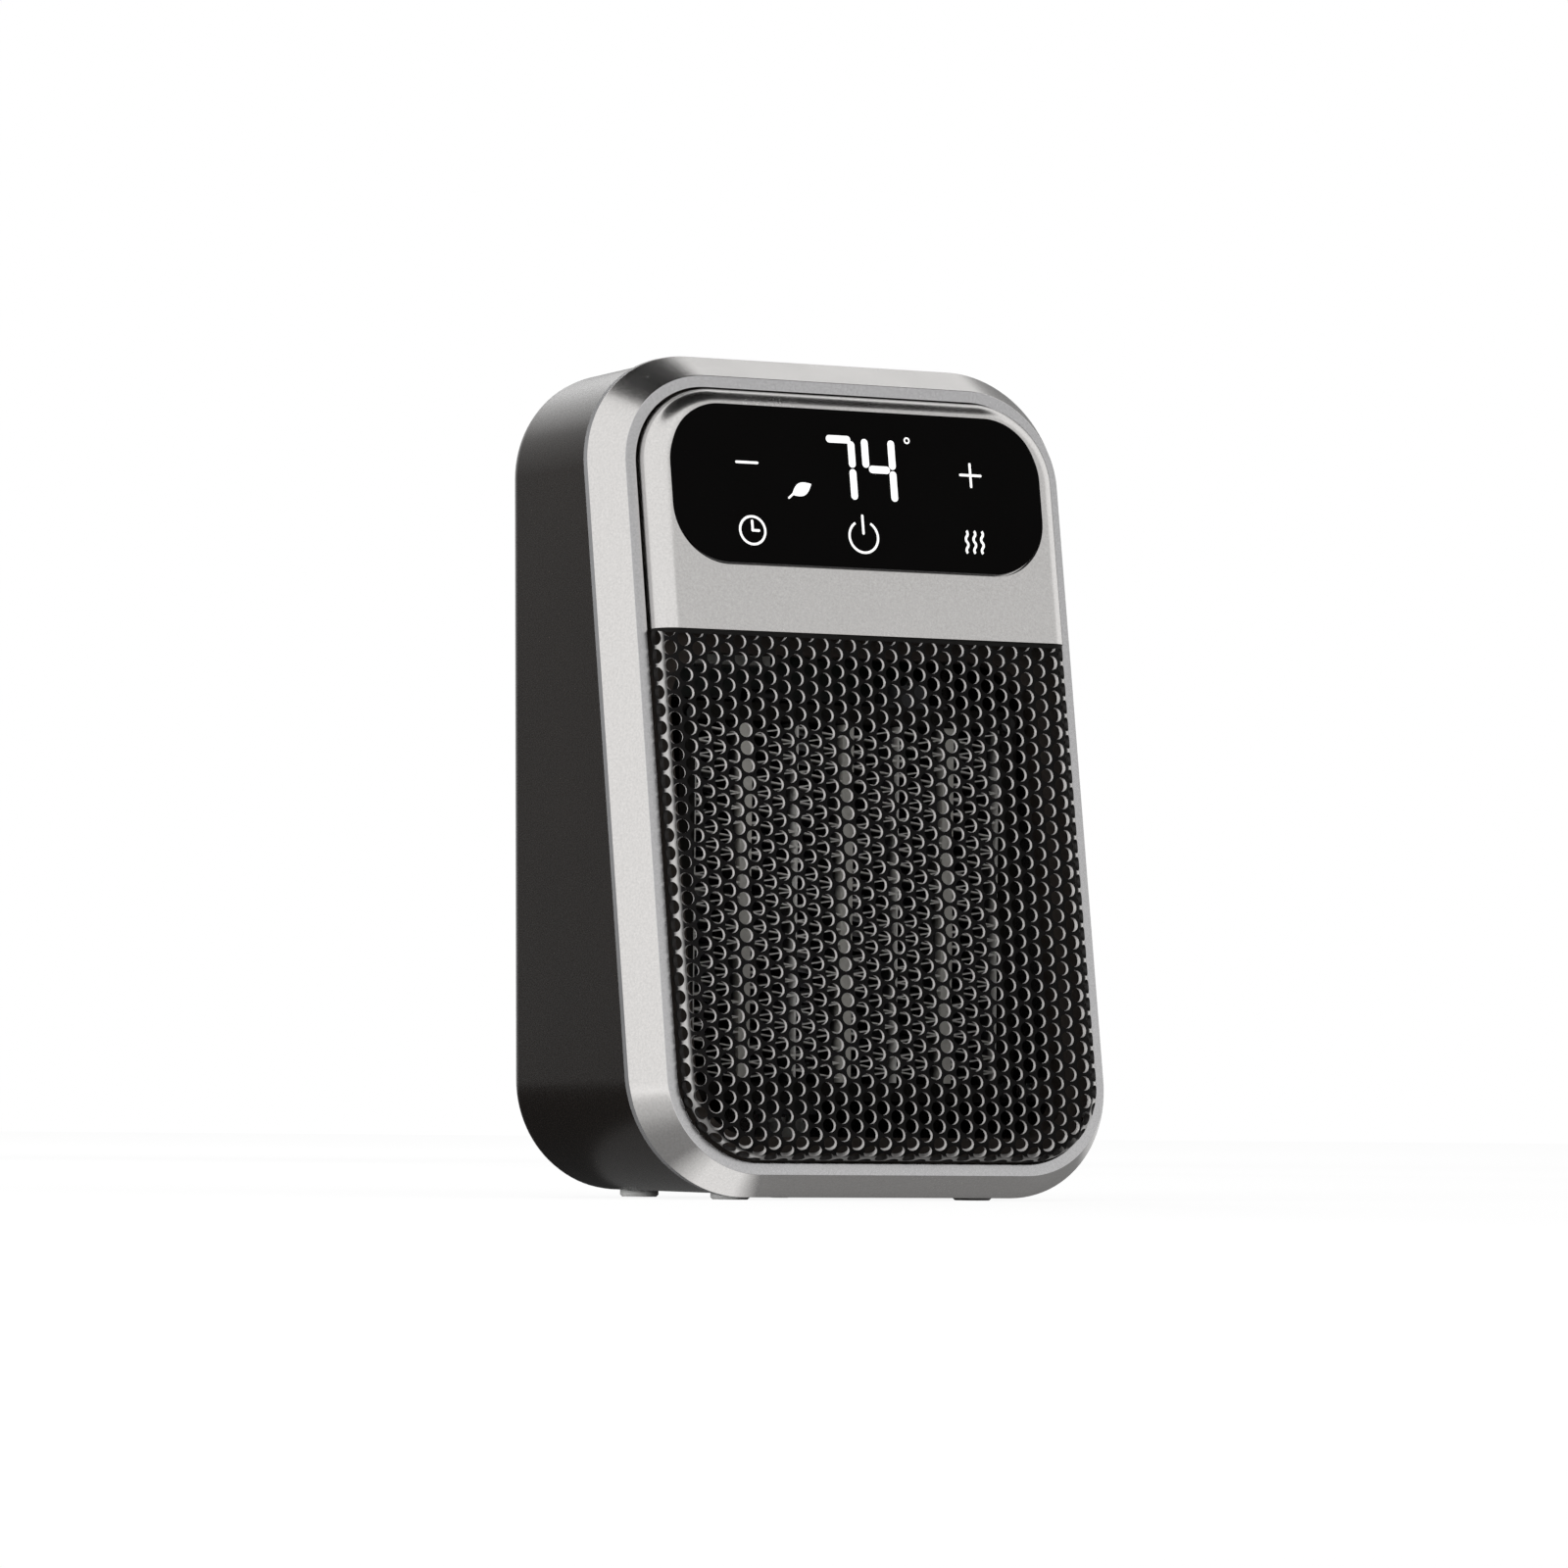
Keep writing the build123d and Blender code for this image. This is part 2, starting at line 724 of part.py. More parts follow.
with BuildPart() as element_dividers:
    with BuildSketch(upright(core_back, 0, element_height)):
        with Locations(*[(x, 0) for x in divider_places]):
            Rectangle(divider_width, core_height)
    extrude(amount=core_depth)
element_dividers.part.label = "element_dividers"

fold_count = floor(core_height / fin_rise) - 1
with BuildPart() as element_fins:
    for x in module_places:
        for side in (-1, 1):
            near = x + side * bar_width / 2
            far = near + side * fin_width
            low = element_height - (fold_count * fin_rise + fin_thickness) / 2
            notch = side * fin_width * fin_thickness / (2 * fin_rise)
            # Each fold is flat at its tip and ends in a notch on the other side
            chains = {near: [], far: []}
            for fold in range(fold_count + 1):
                z = low + fold * fin_rise
                tip, other = (far, near) if fold % 2 else (near, far)
                chains[tip] += [(tip, z), (tip, z + fin_thickness)]
                if 0 < fold < fold_count:
                    inward = -notch if fold % 2 else notch
                    chains[other].append((tip + inward, z + fin_thickness / 2))
            with BuildSketch(upright(core_back)):
                with BuildLine():
                    Polyline(*chains[far], *reversed(chains[near]), close=True)
                make_face()
            extrude(amount=core_depth)
element_fins.part.label = "element_fins"

# Holder round the element, with a lip behind it and saddles for the fuse on top
with BuildPart() as element_holder:
    with BuildSketch(upright(holder_back, 0, element_height)):
        Rectangle(holder_width, holder_height)
        Rectangle(duct_width, duct_height, mode=Mode.SUBTRACT)
    extrude(amount=holder_back - core_front + holder_front)
    with BuildSketch(upright(core_back, 0, element_height)):
        Rectangle(core_width + 2 * holder_fit, core_height + 2 * holder_fit)
    extrude(amount=core_depth + holder_front + overrun, mode=Mode.SUBTRACT)
    holder_top = element_height + holder_height / 2
    holder_middle = (core_front - holder_front + holder_back) / 2
    with BuildSketch(Plane.XY.offset(holder_top)):
        with Locations((-fuse_x, holder_middle)):
            Rectangle(fuse_cradle_length, fuse_cradle_width)
    extrude(amount=fuse_cradle)
    with BuildSketch(Plane.YZ.offset(-fuse_x - fuse_length / 2)):
        with Locations((holder_middle, holder_top + fuse_radius)):
            Circle(fuse_radius + press_fit)
    extrude(amount=fuse_length, mode=Mode.SUBTRACT)
    with BuildSketch(upright(holder_back + overrun)):
        with Locations(*corners):
            Circle(small_screw_radius + screw_clearance)
    extrude(amount=holder_back - core_front + holder_front + 2 * overrun, mode=Mode.SUBTRACT)
element_holder.part.label = "element_holder"

with BuildPart() as thermal_cutoff:
    with BuildSketch(Plane.XY.offset(holder_top)):
        with Locations((cutoff_x, holder_middle)):
            Rectangle(cutoff_flange_width, cutoff_flange_depth)
    extrude(amount=cutoff_flange)
    with BuildSketch(Plane.XY.offset(holder_top)):
        with Locations((cutoff_x, holder_middle)):
            Circle(cutoff_radius)
    extrude(amount=cutoff_height)
thermal_cutoff.part.label = "thermal_cutoff"

with BuildPart() as thermal_fuse:
    with BuildSketch(Plane.YZ.offset(-fuse_x - fuse_length / 2)):
        with Locations((holder_middle, holder_top + fuse_radius)):
            Circle(fuse_radius)
    extrude(amount=fuse_length)
thermal_fuse.part.label = "thermal_fuse"

# Air duct behind the holder, from the element's rectangle to the fan's circle
with BuildPart() as air_duct:
    with BuildSketch(upright(holder_back, 0, element_height)):
        Rectangle(holder_width, holder_height)
    extrude(amount=-duct_flange)
    with BuildSketch(upright(duct_back, 0, element_height)):
        RectangleRounded(duct_width + 2 * duct_wall, duct_height + 2 * duct_wall, duct_corner)
    with BuildSketch(upright(ring_front, 0, element_height)):
        Circle(duct_bore + duct_wall)
    loft()
    with BuildSketch(upright(ring_front, 0, element_height)):
        Circle(duct_bore + duct_wall)
    extrude(amount=-duct_ring)
    # The way for the air
    with BuildSketch(upright(holder_back - overrun, 0, element_height)):
        RectangleRounded(duct_width, duct_height, duct_corner - duct_wall)
    extrude(amount=-(duct_flange + overrun), mode=Mode.SUBTRACT)
    with BuildSketch(upright(duct_back, 0, element_height)):
        RectangleRounded(duct_width, duct_height, duct_corner - duct_wall)
    with BuildSketch(upright(ring_front, 0, element_height)):
        Circle(duct_bore)
    loft(mode=Mode.SUBTRACT)
    with BuildSketch(upright(ring_front, 0, element_height)):
        Circle(duct_bore)
    extrude(amount=-(duct_ring + overrun), mode=Mode.SUBTRACT)
    with BuildSketch(upright(holder_back - overrun)):
        with Locations(*corners):
            Circle(small_screw_radius + screw_clearance)
    extrude(amount=-(duct_flange + 2 * overrun), mode=Mode.SUBTRACT)
air_duct.part.label = "air_duct"

with BuildPart() as element_screws:
    for x, z in corners:
        with BuildSketch(upright(core_front - holder_front, x, z)):
            Circle(small_head_radius)
        extrude(amount=small_head_height)
        with BuildSketch(upright(core_front - holder_front, x, z)):
            Circle(small_screw_radius)
        extrude(amount=core_front - holder_front - duct_back - small_screw_bite)
element_screws.part.label = "element_screws"

# Fan: hub and twisted blades on the motor's shaft
hub_front = ring_front + hub_setback
hub_back = hub_front + hub_length
motor_front = hub_back + motor_gap
motor_back = motor_front + motor_length
blade_root = hub_radius - hub_wall * blade_root_share


def blade_plane(angle, reach, pitch):
    """Plane across a blade, at a reach from the fan's axis, its X along the chord."""
    out = Vector(cos(angle), 0, sin(angle))
    along = Vector(-sin(angle), 0, cos(angle))
    chord = along * cos(radians(pitch)) + Vector(0, 1, 0) * sin(radians(pitch))
    middle = Vector(0, (hub_front + hub_back) / 2, element_height) + out * reach
    return Plane(origin=middle, x_dir=chord, z_dir=out)


def blade_section(chord):
    """Thin curved section of a blade."""
    with BuildLine() as section:
        ThreePointArc((-chord / 2, 0), (0, blade_camber), (chord / 2, 0))
        ThreePointArc((chord / 2, 0), (0, blade_camber - blade_thickness), (-chord / 2, 0))
    make_face(section.edges())


with BuildPart() as fan_impeller:
    with BuildSketch(upright(hub_front, 0, element_height)):
        Circle(hub_radius)
    extrude(amount=-hub_length)
    chamfer(fan_impeller.faces().sort_by(Axis.Y)[0].edges(), component_edge)
    with BuildSketch(upright(hub_front + hub_wall, 0, element_height)):
        Circle(hub_radius - hub_wall)
        Circle(hub_boss, mode=Mode.SUBTRACT)
    extrude(amount=-hub_length, mode=Mode.SUBTRACT)
    for blade in range(blade_count):
        turn = 2 * pi * blade / blade_count
        with BuildSketch(blade_plane(turn, blade_root, blade_root_pitch)):
            blade_section(blade_root_chord)
        with BuildSketch(blade_plane(turn, blade_tip, blade_tip_pitch)):
            blade_section(blade_tip_chord)
        loft()
    with BuildSketch(upright(hub_front - overrun, 0, element_height)):
        Circle(shaft_radius + press_fit)
    extrude(amount=-(hub_length + 2 * overrun), mode=Mode.SUBTRACT)
fan_impeller.part.label = "fan_impeller"

with BuildPart() as motor_shaft:
    with BuildSketch(upright(hub_front - shaft_front, 0, element_height)):
        Circle(shaft_radius)
    extrude(amount=hub_front - shaft_front - motor_back + motor_cap + shaft_front)
motor_shaft.part.label = "motor_shaft"

with BuildPart() as fan_motor:
    with BuildSketch(upright(motor_front, 0, element_height)):
        Circle(motor_radius)
    extrude(amount=-motor_length)
    chamfer(fan_motor.faces().sort_by(Axis.Y)[-1].edges(), motor_edge)
    with BuildSketch(upright(motor_front, 0, element_height)):
        Circle(shaft_radius + motor_edge)
    extrude(amount=motor_cap - motor_length, mode=Mode.SUBTRACT)
    for face, way in ((motor_front, -1), (motor_back - motor_cap, 1)):
        with BuildSketch(upright(face, 0, element_height)):
            Circle(bush_radius + press_fit)
        extrude(amount=way * bush_length, mode=Mode.SUBTRACT)
fan_motor.part.label = "fan_motor"

with BuildPart() as motor_bushes:
    for face, way in ((motor_front, -1), (motor_back - motor_cap, 1)):
        with BuildSketch(upright(face, 0, element_height)):
            Circle(bush_radius)
            Circle(shaft_radius + shaft_fit, mode=Mode.SUBTRACT)
        extrude(amount=way * bush_length)
motor_bushes.part.label = "motor_bushes"

with BuildPart() as fan_bracket:
    with BuildSketch(upright(ring_back, 0, element_height)):
        Circle(duct_bore + duct_wall)
        Circle(duct_bore + duct_wall - bracket_ring, mode=Mode.SUBTRACT)
        with PolarLocations((motor_radius + duct_bore) / 2, strut_count, 180 / strut_count):
            Rectangle(duct_bore - motor_radius, strut_width)
        Circle(motor_radius + motor_fit, mode=Mode.SUBTRACT)
    extrude(amount=-strut_depth)
    with BuildSketch(upright(ring_back, 0, element_height)):
        Circle(motor_radius + motor_fit + cup_wall)
        Circle(motor_radius + motor_fit, mode=Mode.SUBTRACT)
    extrude(amount=-cup_depth)
fan_bracket.part.label = "fan_bracket"

# Power board on the housing's posts, and what stands on it
with BuildPart() as power_board:
    with BuildSketch(upright(board_back, 0, board_middle)):
        Rectangle(power_board_width, power_board_height)
    extrude(amount=board_thickness)
    with BuildSketch(upright(board_back + overrun)):
        with Locations(*board_posts):
            Circle(small_screw_radius + screw_clearance)
    extrude(amount=board_thickness + 2 * overrun, mode=Mode.SUBTRACT)
power_board.part.label = "power_board"

with BuildPart() as relays:
    with BuildSketch(upright(board_face, 0, power_board_bottom + relay_rise)):
        with Locations((relay_x, 0), (relay_x + relay_step, 0)):
            Rectangle(relay_width, relay_height)
    extrude(amount=relay_depth)
    chamfer(relays.faces().group_by(Axis.Y)[0].edges(), component_edge)
relays.part.label = "relays"

with BuildPart() as transformer:
    with BuildSketch(upright(board_face, transformer_x, power_board_bottom + transformer_rise)):
        Rectangle(transformer_width, transformer_height)
    extrude(amount=transformer_depth)
    chamfer(transformer.faces().sort_by(Axis.Y)[0].edges(), component_edge)
transformer.part.label = "transformer"

with BuildPart() as filter_capacitor:
    with BuildSketch(upright(board_face, capacitor_x, power_board_bottom + capacitor_rise)):
        Rectangle(capacitor_width, capacitor_height)
    extrude(amount=capacitor_depth)
    chamfer(filter_capacitor.faces().sort_by(Axis.Y)[0].edges(), component_edge)
filter_capacitor.part.label = "filter_capacitor"

with BuildPart() as terminal_block:
    with BuildSketch(upright(board_face, terminal_x, power_board_bottom + terminal_rise)):
        Rectangle(terminal_width, terminal_height)
    extrude(amount=terminal_depth)
    terminal_face = board_face - terminal_depth
    with BuildSketch(upright(terminal_face, terminal_x, power_board_bottom + terminal_rise)):
        with GridLocations(terminal_width / terminal_ways, 0, terminal_ways, 1):
            Circle(terminal_hole)
    extrude(amount=-terminal_depth / 2, mode=Mode.SUBTRACT)
terminal_block.part.label = "terminal_block"

# Screws that hold the power board
with BuildPart() as board_screws:
    for x, z in board_posts:
        with BuildSketch(upright(board_face, x, z)):
            Circle(small_head_radius)
        extrude(amount=small_head_height)
        with BuildSketch(upright(board_face, x, z)):
            Circle(small_screw_radius)
        extrude(amount=-(board_thickness + board_screw_length))
board_screws.part.label = "board_screws"

# Power switch in the back: a snap-in frame and the key that rocks in it
with BuildPart() as switch_frame:
    with BuildSketch(back_plane(0, switch_x, switch_rise)):
        RectangleRounded(switch_flange_width, switch_flange_height, switch_corner)
    extrude(amount=-switch_flange)
    with BuildSketch(back_plane(0, switch_x, switch_rise)):
        Rectangle(switch_body_width, switch_body_height)
    extrude(amount=switch_body_depth)
    with BuildSketch(back_plane(-switch_flange, switch_x, switch_rise)):
        Rectangle(key_length + 2 * key_swing_room, key_height + 2 * key_clearance)
    extrude(amount=switch_flange + key_cavity, mode=Mode.SUBTRACT)
    # Bearing holes for the key's pins
    pivot = back_plane(key_pivot_depth, switch_x, switch_rise)
    pivot_across = Plane(origin=pivot.origin, x_dir=(1, 0, 0), z_dir=pivot.y_dir)
    with BuildSketch(pivot_across):
        Circle(key_pin_radius + shaft_fit)
    extrude(amount=key_height / 2 + key_pin_length + key_pin_end_gap, both=True, mode=Mode.SUBTRACT)
switch_frame.part.label = "switch_frame"

with BuildPart() as switch_key:
    with BuildSketch(pivot_across.rotated((0, 0, key_tilt))):
        with BuildLine():
            ThreePointArc((-key_length / 2, key_end), (0, key_crown), (key_length / 2, key_end))
            Polyline(
                (key_length / 2, key_end),
                (key_length / 2, -key_base),
                (-key_length / 2, -key_base),
                (-key_length / 2, key_end),
            )
        make_face()
    extrude(amount=key_height / 2, both=True)
    with BuildSketch(pivot_across):
        Circle(key_pin_radius)
    extrude(amount=key_height / 2 + key_pin_length, both=True)
switch_key.part.label = "switch_key"

# Cord inlet: a bush through the back wall and the nut that holds it
with BuildPart() as cord_gland:
    with BuildSketch(back_plane(0, -gland_x, gland_rise)):
        Circle(gland_radius)
    extrude(amount=-gland_flange)
    chamfer(cord_gland.faces().sort_by(Axis.Y)[-1].edges(), gland_edge)
    with BuildSketch(back_plane(0, -gland_x, gland_rise)):
        Circle(gland_neck)
    extrude(amount=housing_wall + gland_nut + gland_flange)
    with BuildSketch(back_plane(-gland_flange - overrun, -gland_x, gland_rise)):
        Circle(gland_bore)
    extrude(amount=housing_wall + gland_nut + 2 * gland_flange + 2 * overrun, mode=Mode.SUBTRACT)
cord_gland.part.label = "cord_gland"

with BuildPart() as gland_nut_ring:
    with BuildSketch(back_plane(housing_wall, -gland_x, gland_rise)):
        RegularPolygon(gland_nut_radius, 6)
        Circle(gland_neck + press_fit, mode=Mode.SUBTRACT)
    extrude(amount=gland_nut)
gland_nut_ring.part.label = "gland_nut"

# Tip-over switch: a cage on the floor pad, the plunger that the table presses in, spring and switch
cage_top = tip_seat + tip_cage_height
with BuildPart() as tip_cage:
    with BuildSketch(Plane.XY.offset(tip_seat)):
        with Locations((0, tip_y)):
            Circle(tip_cage_radius)
            Circle(tip_cage_bore, mode=Mode.SUBTRACT)
    extrude(amount=tip_cage_height)
    with BuildSketch(Plane.XY.offset(cage_top)):
        with Locations((0, tip_y)):
            Circle(tip_cage_radius)
            Circle(tip_pin_hole, mode=Mode.SUBTRACT)
    extrude(amount=-tip_cage_top)
    with BuildSketch(Plane.XY.offset(cage_top)):
        for side in (-1, 1):
            with Locations((side * (tip_cage_bore - microswitch_rib / 2), tip_y)):
                Rectangle(microswitch_rib, microswitch_depth)
    extrude(amount=microswitch_lift)
tip_cage.part.label = "tip_cage"

collar_low = tip_seat + tip_travel + tip_stop_gap
with BuildPart() as tip_plunger:
    with BuildSketch(Plane.XY):
        with Locations((0, tip_y)):
            Circle(tip_stem)
    extrude(amount=collar_low)
    chamfer(tip_plunger.faces().sort_by(Axis.Z)[0].edges(), tip_nose)
    with BuildSketch(Plane.XY.offset(collar_low)):
        with Locations((0, tip_y)):
            Circle(tip_collar)
    extrude(amount=tip_collar_height)
    with BuildSketch(Plane.XY.offset(collar_low)):
        with Locations((0, tip_y)):
            Circle(tip_pin)
    extrude(amount=cage_top + tip_pin_reach - collar_low)
tip_plunger.part.label = "tip_plunger"

spring_low = collar_low + tip_collar_height + spring_gap + spring_wire / 2
spring_high = cage_top - tip_cage_top - spring_gap - spring_wire / 2
with BuildPart() as plunger_spring:
    spring_rise = spring_high - spring_low
    with BuildLine(Plane.XY.offset(spring_low)) as coil:
        Helix(spring_rise / spring_turns, spring_rise, spring_radius, center=(0, tip_y, 0))
    with BuildSketch(Plane(origin=coil.line @ 0, z_dir=coil.line % 0)):
        RegularPolygon(spring_wire / 2, 6)
    sweep(path=coil.line)
plunger_spring.part.label = "plunger_spring"

with BuildPart() as tip_switch:
    with BuildSketch(Plane.XY.offset(cage_top + microswitch_lift)):
        with Locations((0, tip_y)):
            Rectangle(microswitch_width, microswitch_depth)
    extrude(amount=microswitch_height)
    with BuildSketch(Plane.XY.offset(cage_top + tip_pin_reach + microswitch_press)):
        with Locations((0, tip_y)):
            Circle(microswitch_button)
    extrude(amount=microswitch_lift)
tip_switch.part.label = "tip_switch"

# Room temperature sensor on its post beside the intake
with BuildPart() as room_sensor:
    post_end = rear_y(sensor_rise) - housing_wall / 2 - sensor_reach
    with BuildSketch(upright(post_end, sensor_x, sensor_rise)):
        Circle(sensor_radius)
    extrude(amount=sensor_length)
room_sensor.part.label = "room_sensor"

os.makedirs("parts", exist_ok=True)
pieces = [
    rear_housing, front_bezel, front_frame, control_panel, display_window, front_grille,
    display_board, digit_module, touch_pads, rubber_feet, housing_screws, element_bars,
    element_fins, element_dividers, element_holder, element_screws, thermal_cutoff, thermal_fuse,
    air_duct, fan_impeller, motor_shaft, fan_motor, motor_bushes, fan_bracket, power_board,
    relays, transformer, filter_capacitor, terminal_block, board_screws, switch_frame, switch_key,
    cord_gland, gland_nut_ring, tip_cage, tip_plunger, plunger_spring, tip_switch, room_sensor,
]
for piece in pieces:
    export_step(piece.part, f"parts/{piece.part.label}.step")
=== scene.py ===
import json
from math import atan2, cos, hypot, pi, radians, sin, sqrt, tan

import bmesh
import bpy
from mathutils import Matrix, Vector


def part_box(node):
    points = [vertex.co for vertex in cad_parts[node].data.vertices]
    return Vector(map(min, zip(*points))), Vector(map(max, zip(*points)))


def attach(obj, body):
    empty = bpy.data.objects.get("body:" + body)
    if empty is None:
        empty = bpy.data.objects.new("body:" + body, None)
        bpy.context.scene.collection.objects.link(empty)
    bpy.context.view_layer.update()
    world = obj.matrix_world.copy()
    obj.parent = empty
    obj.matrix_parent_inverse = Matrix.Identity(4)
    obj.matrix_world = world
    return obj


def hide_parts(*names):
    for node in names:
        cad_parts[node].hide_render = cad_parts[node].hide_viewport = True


# Compact desktop fan heater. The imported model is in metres; every size here is in millimetres,
# and each piece's mesh is brought to metres by the matrix that places it.
MILLIMETRE = 0.001

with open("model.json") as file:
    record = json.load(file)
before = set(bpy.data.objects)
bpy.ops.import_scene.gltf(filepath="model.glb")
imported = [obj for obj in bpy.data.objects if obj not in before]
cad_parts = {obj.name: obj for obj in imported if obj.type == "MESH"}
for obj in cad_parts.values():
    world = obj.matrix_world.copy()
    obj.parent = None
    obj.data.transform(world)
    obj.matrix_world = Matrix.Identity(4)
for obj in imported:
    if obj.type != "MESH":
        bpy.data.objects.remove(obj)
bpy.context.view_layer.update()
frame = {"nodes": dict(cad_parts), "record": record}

# Sizes shared with the solids
BODY_WIDTH = 152.8
BODY_HEIGHT = 237.4
BODY_DEPTH = 107.0
FRONT_LEAN = radians(9.6)
REAR_LEAN = radians(1.7)
OUTLINE_RADIUS = 33.6
STANDOFF = 0.8
CHAMFER_SIDE = 6.4
CHAMFER_DEPTH = 10.8
BAND = 3.4
RIM = 2.2
BEZEL_SKIN = 2.3
BEZEL_WALL = 2.0
BEZEL_WALL_DEPTH = 9.0
INSERT_GAP = 1.4
INSERT_PROUD = 7.6
EDGE_ROUND = 5.0
INSERT_BACK = 3.0
PANEL_HEIGHT = 80.2
PANEL_LIP = 0.026
SEAM_GAP = 0.3
SEAM_DROP = 0.25
WINDOW_MARGIN = 0.4
WINDOW_HEIGHT = 45.6
WINDOW_TOP_GAP = 0.3
WINDOW_RADIUS = 17.0
WINDOW_THICKNESS = 1.8
HOUSING_INSET = 0.9
HOUSING_TAPER = 1.4
HOUSING_WALL = 2.4
HOUSING_ROUND = 8.0

# Places worked out from them
SLOPE_HEIGHT = BODY_HEIGHT / cos(FRONT_LEAN)
MIDDLE = STANDOFF + BODY_HEIGHT / 2
OPENING_INSET = CHAMFER_SIDE + BAND
INSERT_INSET = OPENING_INSET + INSERT_GAP
FLAT_INSET = INSERT_INSET + EDGE_ROUND
FRONT_Y = (
    -BODY_DEPTH / 2
    + INSERT_PROUD
    - FLAT_INSET * tan(FRONT_LEAN)
    - EDGE_ROUND * (1 / cos(FRONT_LEAN) - 1)
)
BEZEL_BACK = CHAMFER_DEPTH + RIM
SEAM = SLOPE_HEIGHT / 2 - PANEL_HEIGHT - SEAM_DROP
WINDOW_WIDTH = BODY_WIDTH - 2 * (FLAT_INSET + WINDOW_MARGIN)
WINDOW_MIDDLE = SLOPE_HEIGHT / 2 - FLAT_INSET + WINDOW_TOP_GAP - WINDOW_HEIGHT / 2
REAR_HIGH = STANDOFF + BODY_HEIGHT - HOUSING_INSET - HOUSING_TAPER - HOUSING_ROUND

# The dressed insert fills its opening a little more than the solid one
PILLOW_INSET = 10.5
PILLOW_ROUND = FLAT_INSET - PILLOW_INSET
SEAM_CUT = radians(2.0)
LENS_RISE = 0.8
LENS_LIFT = 0.03
LENS_HEIGHT = 46.1

# Fineness of the rounded shapes
CORNER_STEPS = 24
ROUND_STEPS = 8
BEZEL_EDGE = 0.22


def slope_y(z):
    """Y of the bezel's front face at height z."""
    return FRONT_Y + (z - STANDOFF) * tan(FRONT_LEAN)


def rear_y(z):
    """Y of the housing's back at height z."""
    return BODY_DEPTH / 2 + (z - REAR_HIGH) * tan(REAR_LEAN)


def leaning(depth=0.0):
    """Matrix from the front's own flat space, X across, Y up the slope and Z towards the viewer."""
    columns = [
        Vector((1, 0, 0)),
        Vector((0, sin(FRONT_LEAN), cos(FRONT_LEAN))),
        Vector((0, -1, 0)),
    ]
    turn = Matrix(columns).transposed().to_4x4()
    return Matrix.Translation((0, slope_y(MIDDLE) + depth, MIDDLE)) @ turn


def backward(depth=0.0):
    """Matrix from the back's own flat space, X across, Y up and Z towards the front."""
    columns = [
        Vector((1, 0, 0)),
        Vector((0, sin(REAR_LEAN), cos(REAR_LEAN))),
        Vector((0, -cos(REAR_LEAN), sin(REAR_LEAN))),
    ]
    turn = Matrix(columns).transposed().to_4x4()
    place = Vector((0, rear_y(MIDDLE), MIDDLE)) + columns[2] * depth
    return Matrix.Translation(place) @ turn


# Materials: maths on sockets reads as Python
class Value:
    """A number or colour on its way through a material's nodes."""

    def __init__(self, finish, socket):
        self.finish = finish
        self.socket = socket

    def maths(self, operation, first, second):
        return self.finish.node("ShaderNodeMath", {"operation": operation}, {0: first, 1: second})

    def __add__(self, other):
        return self.maths("ADD", self, other)

    def __radd__(self, other):
        return self.maths("ADD", other, self)

    def __mul__(self, other):
        return self.maths("MULTIPLY", self, other)

    def __rmul__(self, other):
        return self.maths("MULTIPLY", other, self)

    def either(self, other):
        """The larger of two values."""
        return self.maths("MAXIMUM", self, other)


class Finish:
    """The nodes of a material or of the world, on the piece's own Object coordinates."""

    def __init__(self, tree):
        self.tree = tree
        self.tree.nodes.clear()
        self.place = self.node("ShaderNodeTexCoord", output="Object")

    def node(self, kind, settings=None, sockets=None, output=0):
        """Adds a node, with its settings first and then its sockets, and gives one output."""
        made = self.tree.nodes.new(kind)
        for name, setting in (settings or {}).items():
            setattr(made, name, setting)
        for name, value in (sockets or {}).items():
            if isinstance(value, Value):
                self.tree.links.new(value.socket, made.inputs[name])
            else:
                made.inputs[name].default_value = value
        return Value(self, made.outputs[output]) if len(made.outputs) else None

    def noise(self, scale, detail=2.0, roughness=0.5):
        sockets = {"Vector": self.place, "Scale": scale, "Detail": detail, "Roughness": roughness}
        return self.node("ShaderNodeTexNoise", None, sockets, "Fac")

    def attribute(self, name):
        return self.node("ShaderNodeAttribute", {"attribute_name": name}, None, "Fac")

    def spread(self, value, low, high, start=0.3, end=0.7):
        """Stretches a value over a range of its own."""
        span = {"From Min": start, "From Max": end, "To Min": low, "To Max": high}
        return self.node("ShaderNodeMapRange", None, {"Value": value, **span}, "Result")

    def mix(self, factor, first, second):
        sockets = {"Factor": factor, 6: first, 7: second}
        return self.node("ShaderNodeMix", {"data_type": "RGBA"}, sockets, 2)

    def bump(self, height, strength, distance):
        sockets = {"Strength": strength, "Distance": distance, "Height": height}
        return self.node("ShaderNodeBump", None, sockets, "Normal")

    def surface(self, **sockets):
        """A Principled surface, its sockets named with underscores for spaces."""
        named = {name.replace("_", " "): value for name, value in sockets.items()}
        return self.node("ShaderNodeBsdfPrincipled", None, named, "BSDF")

    def ray(self, kind):
        """1 on rays of a kind, such as those of the camera."""
        return self.node("ShaderNodeLightPath", None, None, f"Is {kind} Ray")

    def blend(self, factor, first, second):
        return self.node("ShaderNodeMixShader", None, {0: factor, 1: first, 2: second})

    def finish(self, shader, kind="ShaderNodeOutputMaterial"):
        self.node(kind, None, {"Surface": shader})


def material(name):
    """A new material with its nodes."""
    made = bpy.data.materials.new(name)
    made.use_nodes = True
    return made, Finish(made.node_tree)


def colour(red, green, blue):
    return (red, green, blue, 1.0)


def tones(base, change):
    """A colour made darker and lighter by a share of itself."""
    return colour(*[c * (1 - change) for c in base]), colour(*[c * (1 + change) for c in base])


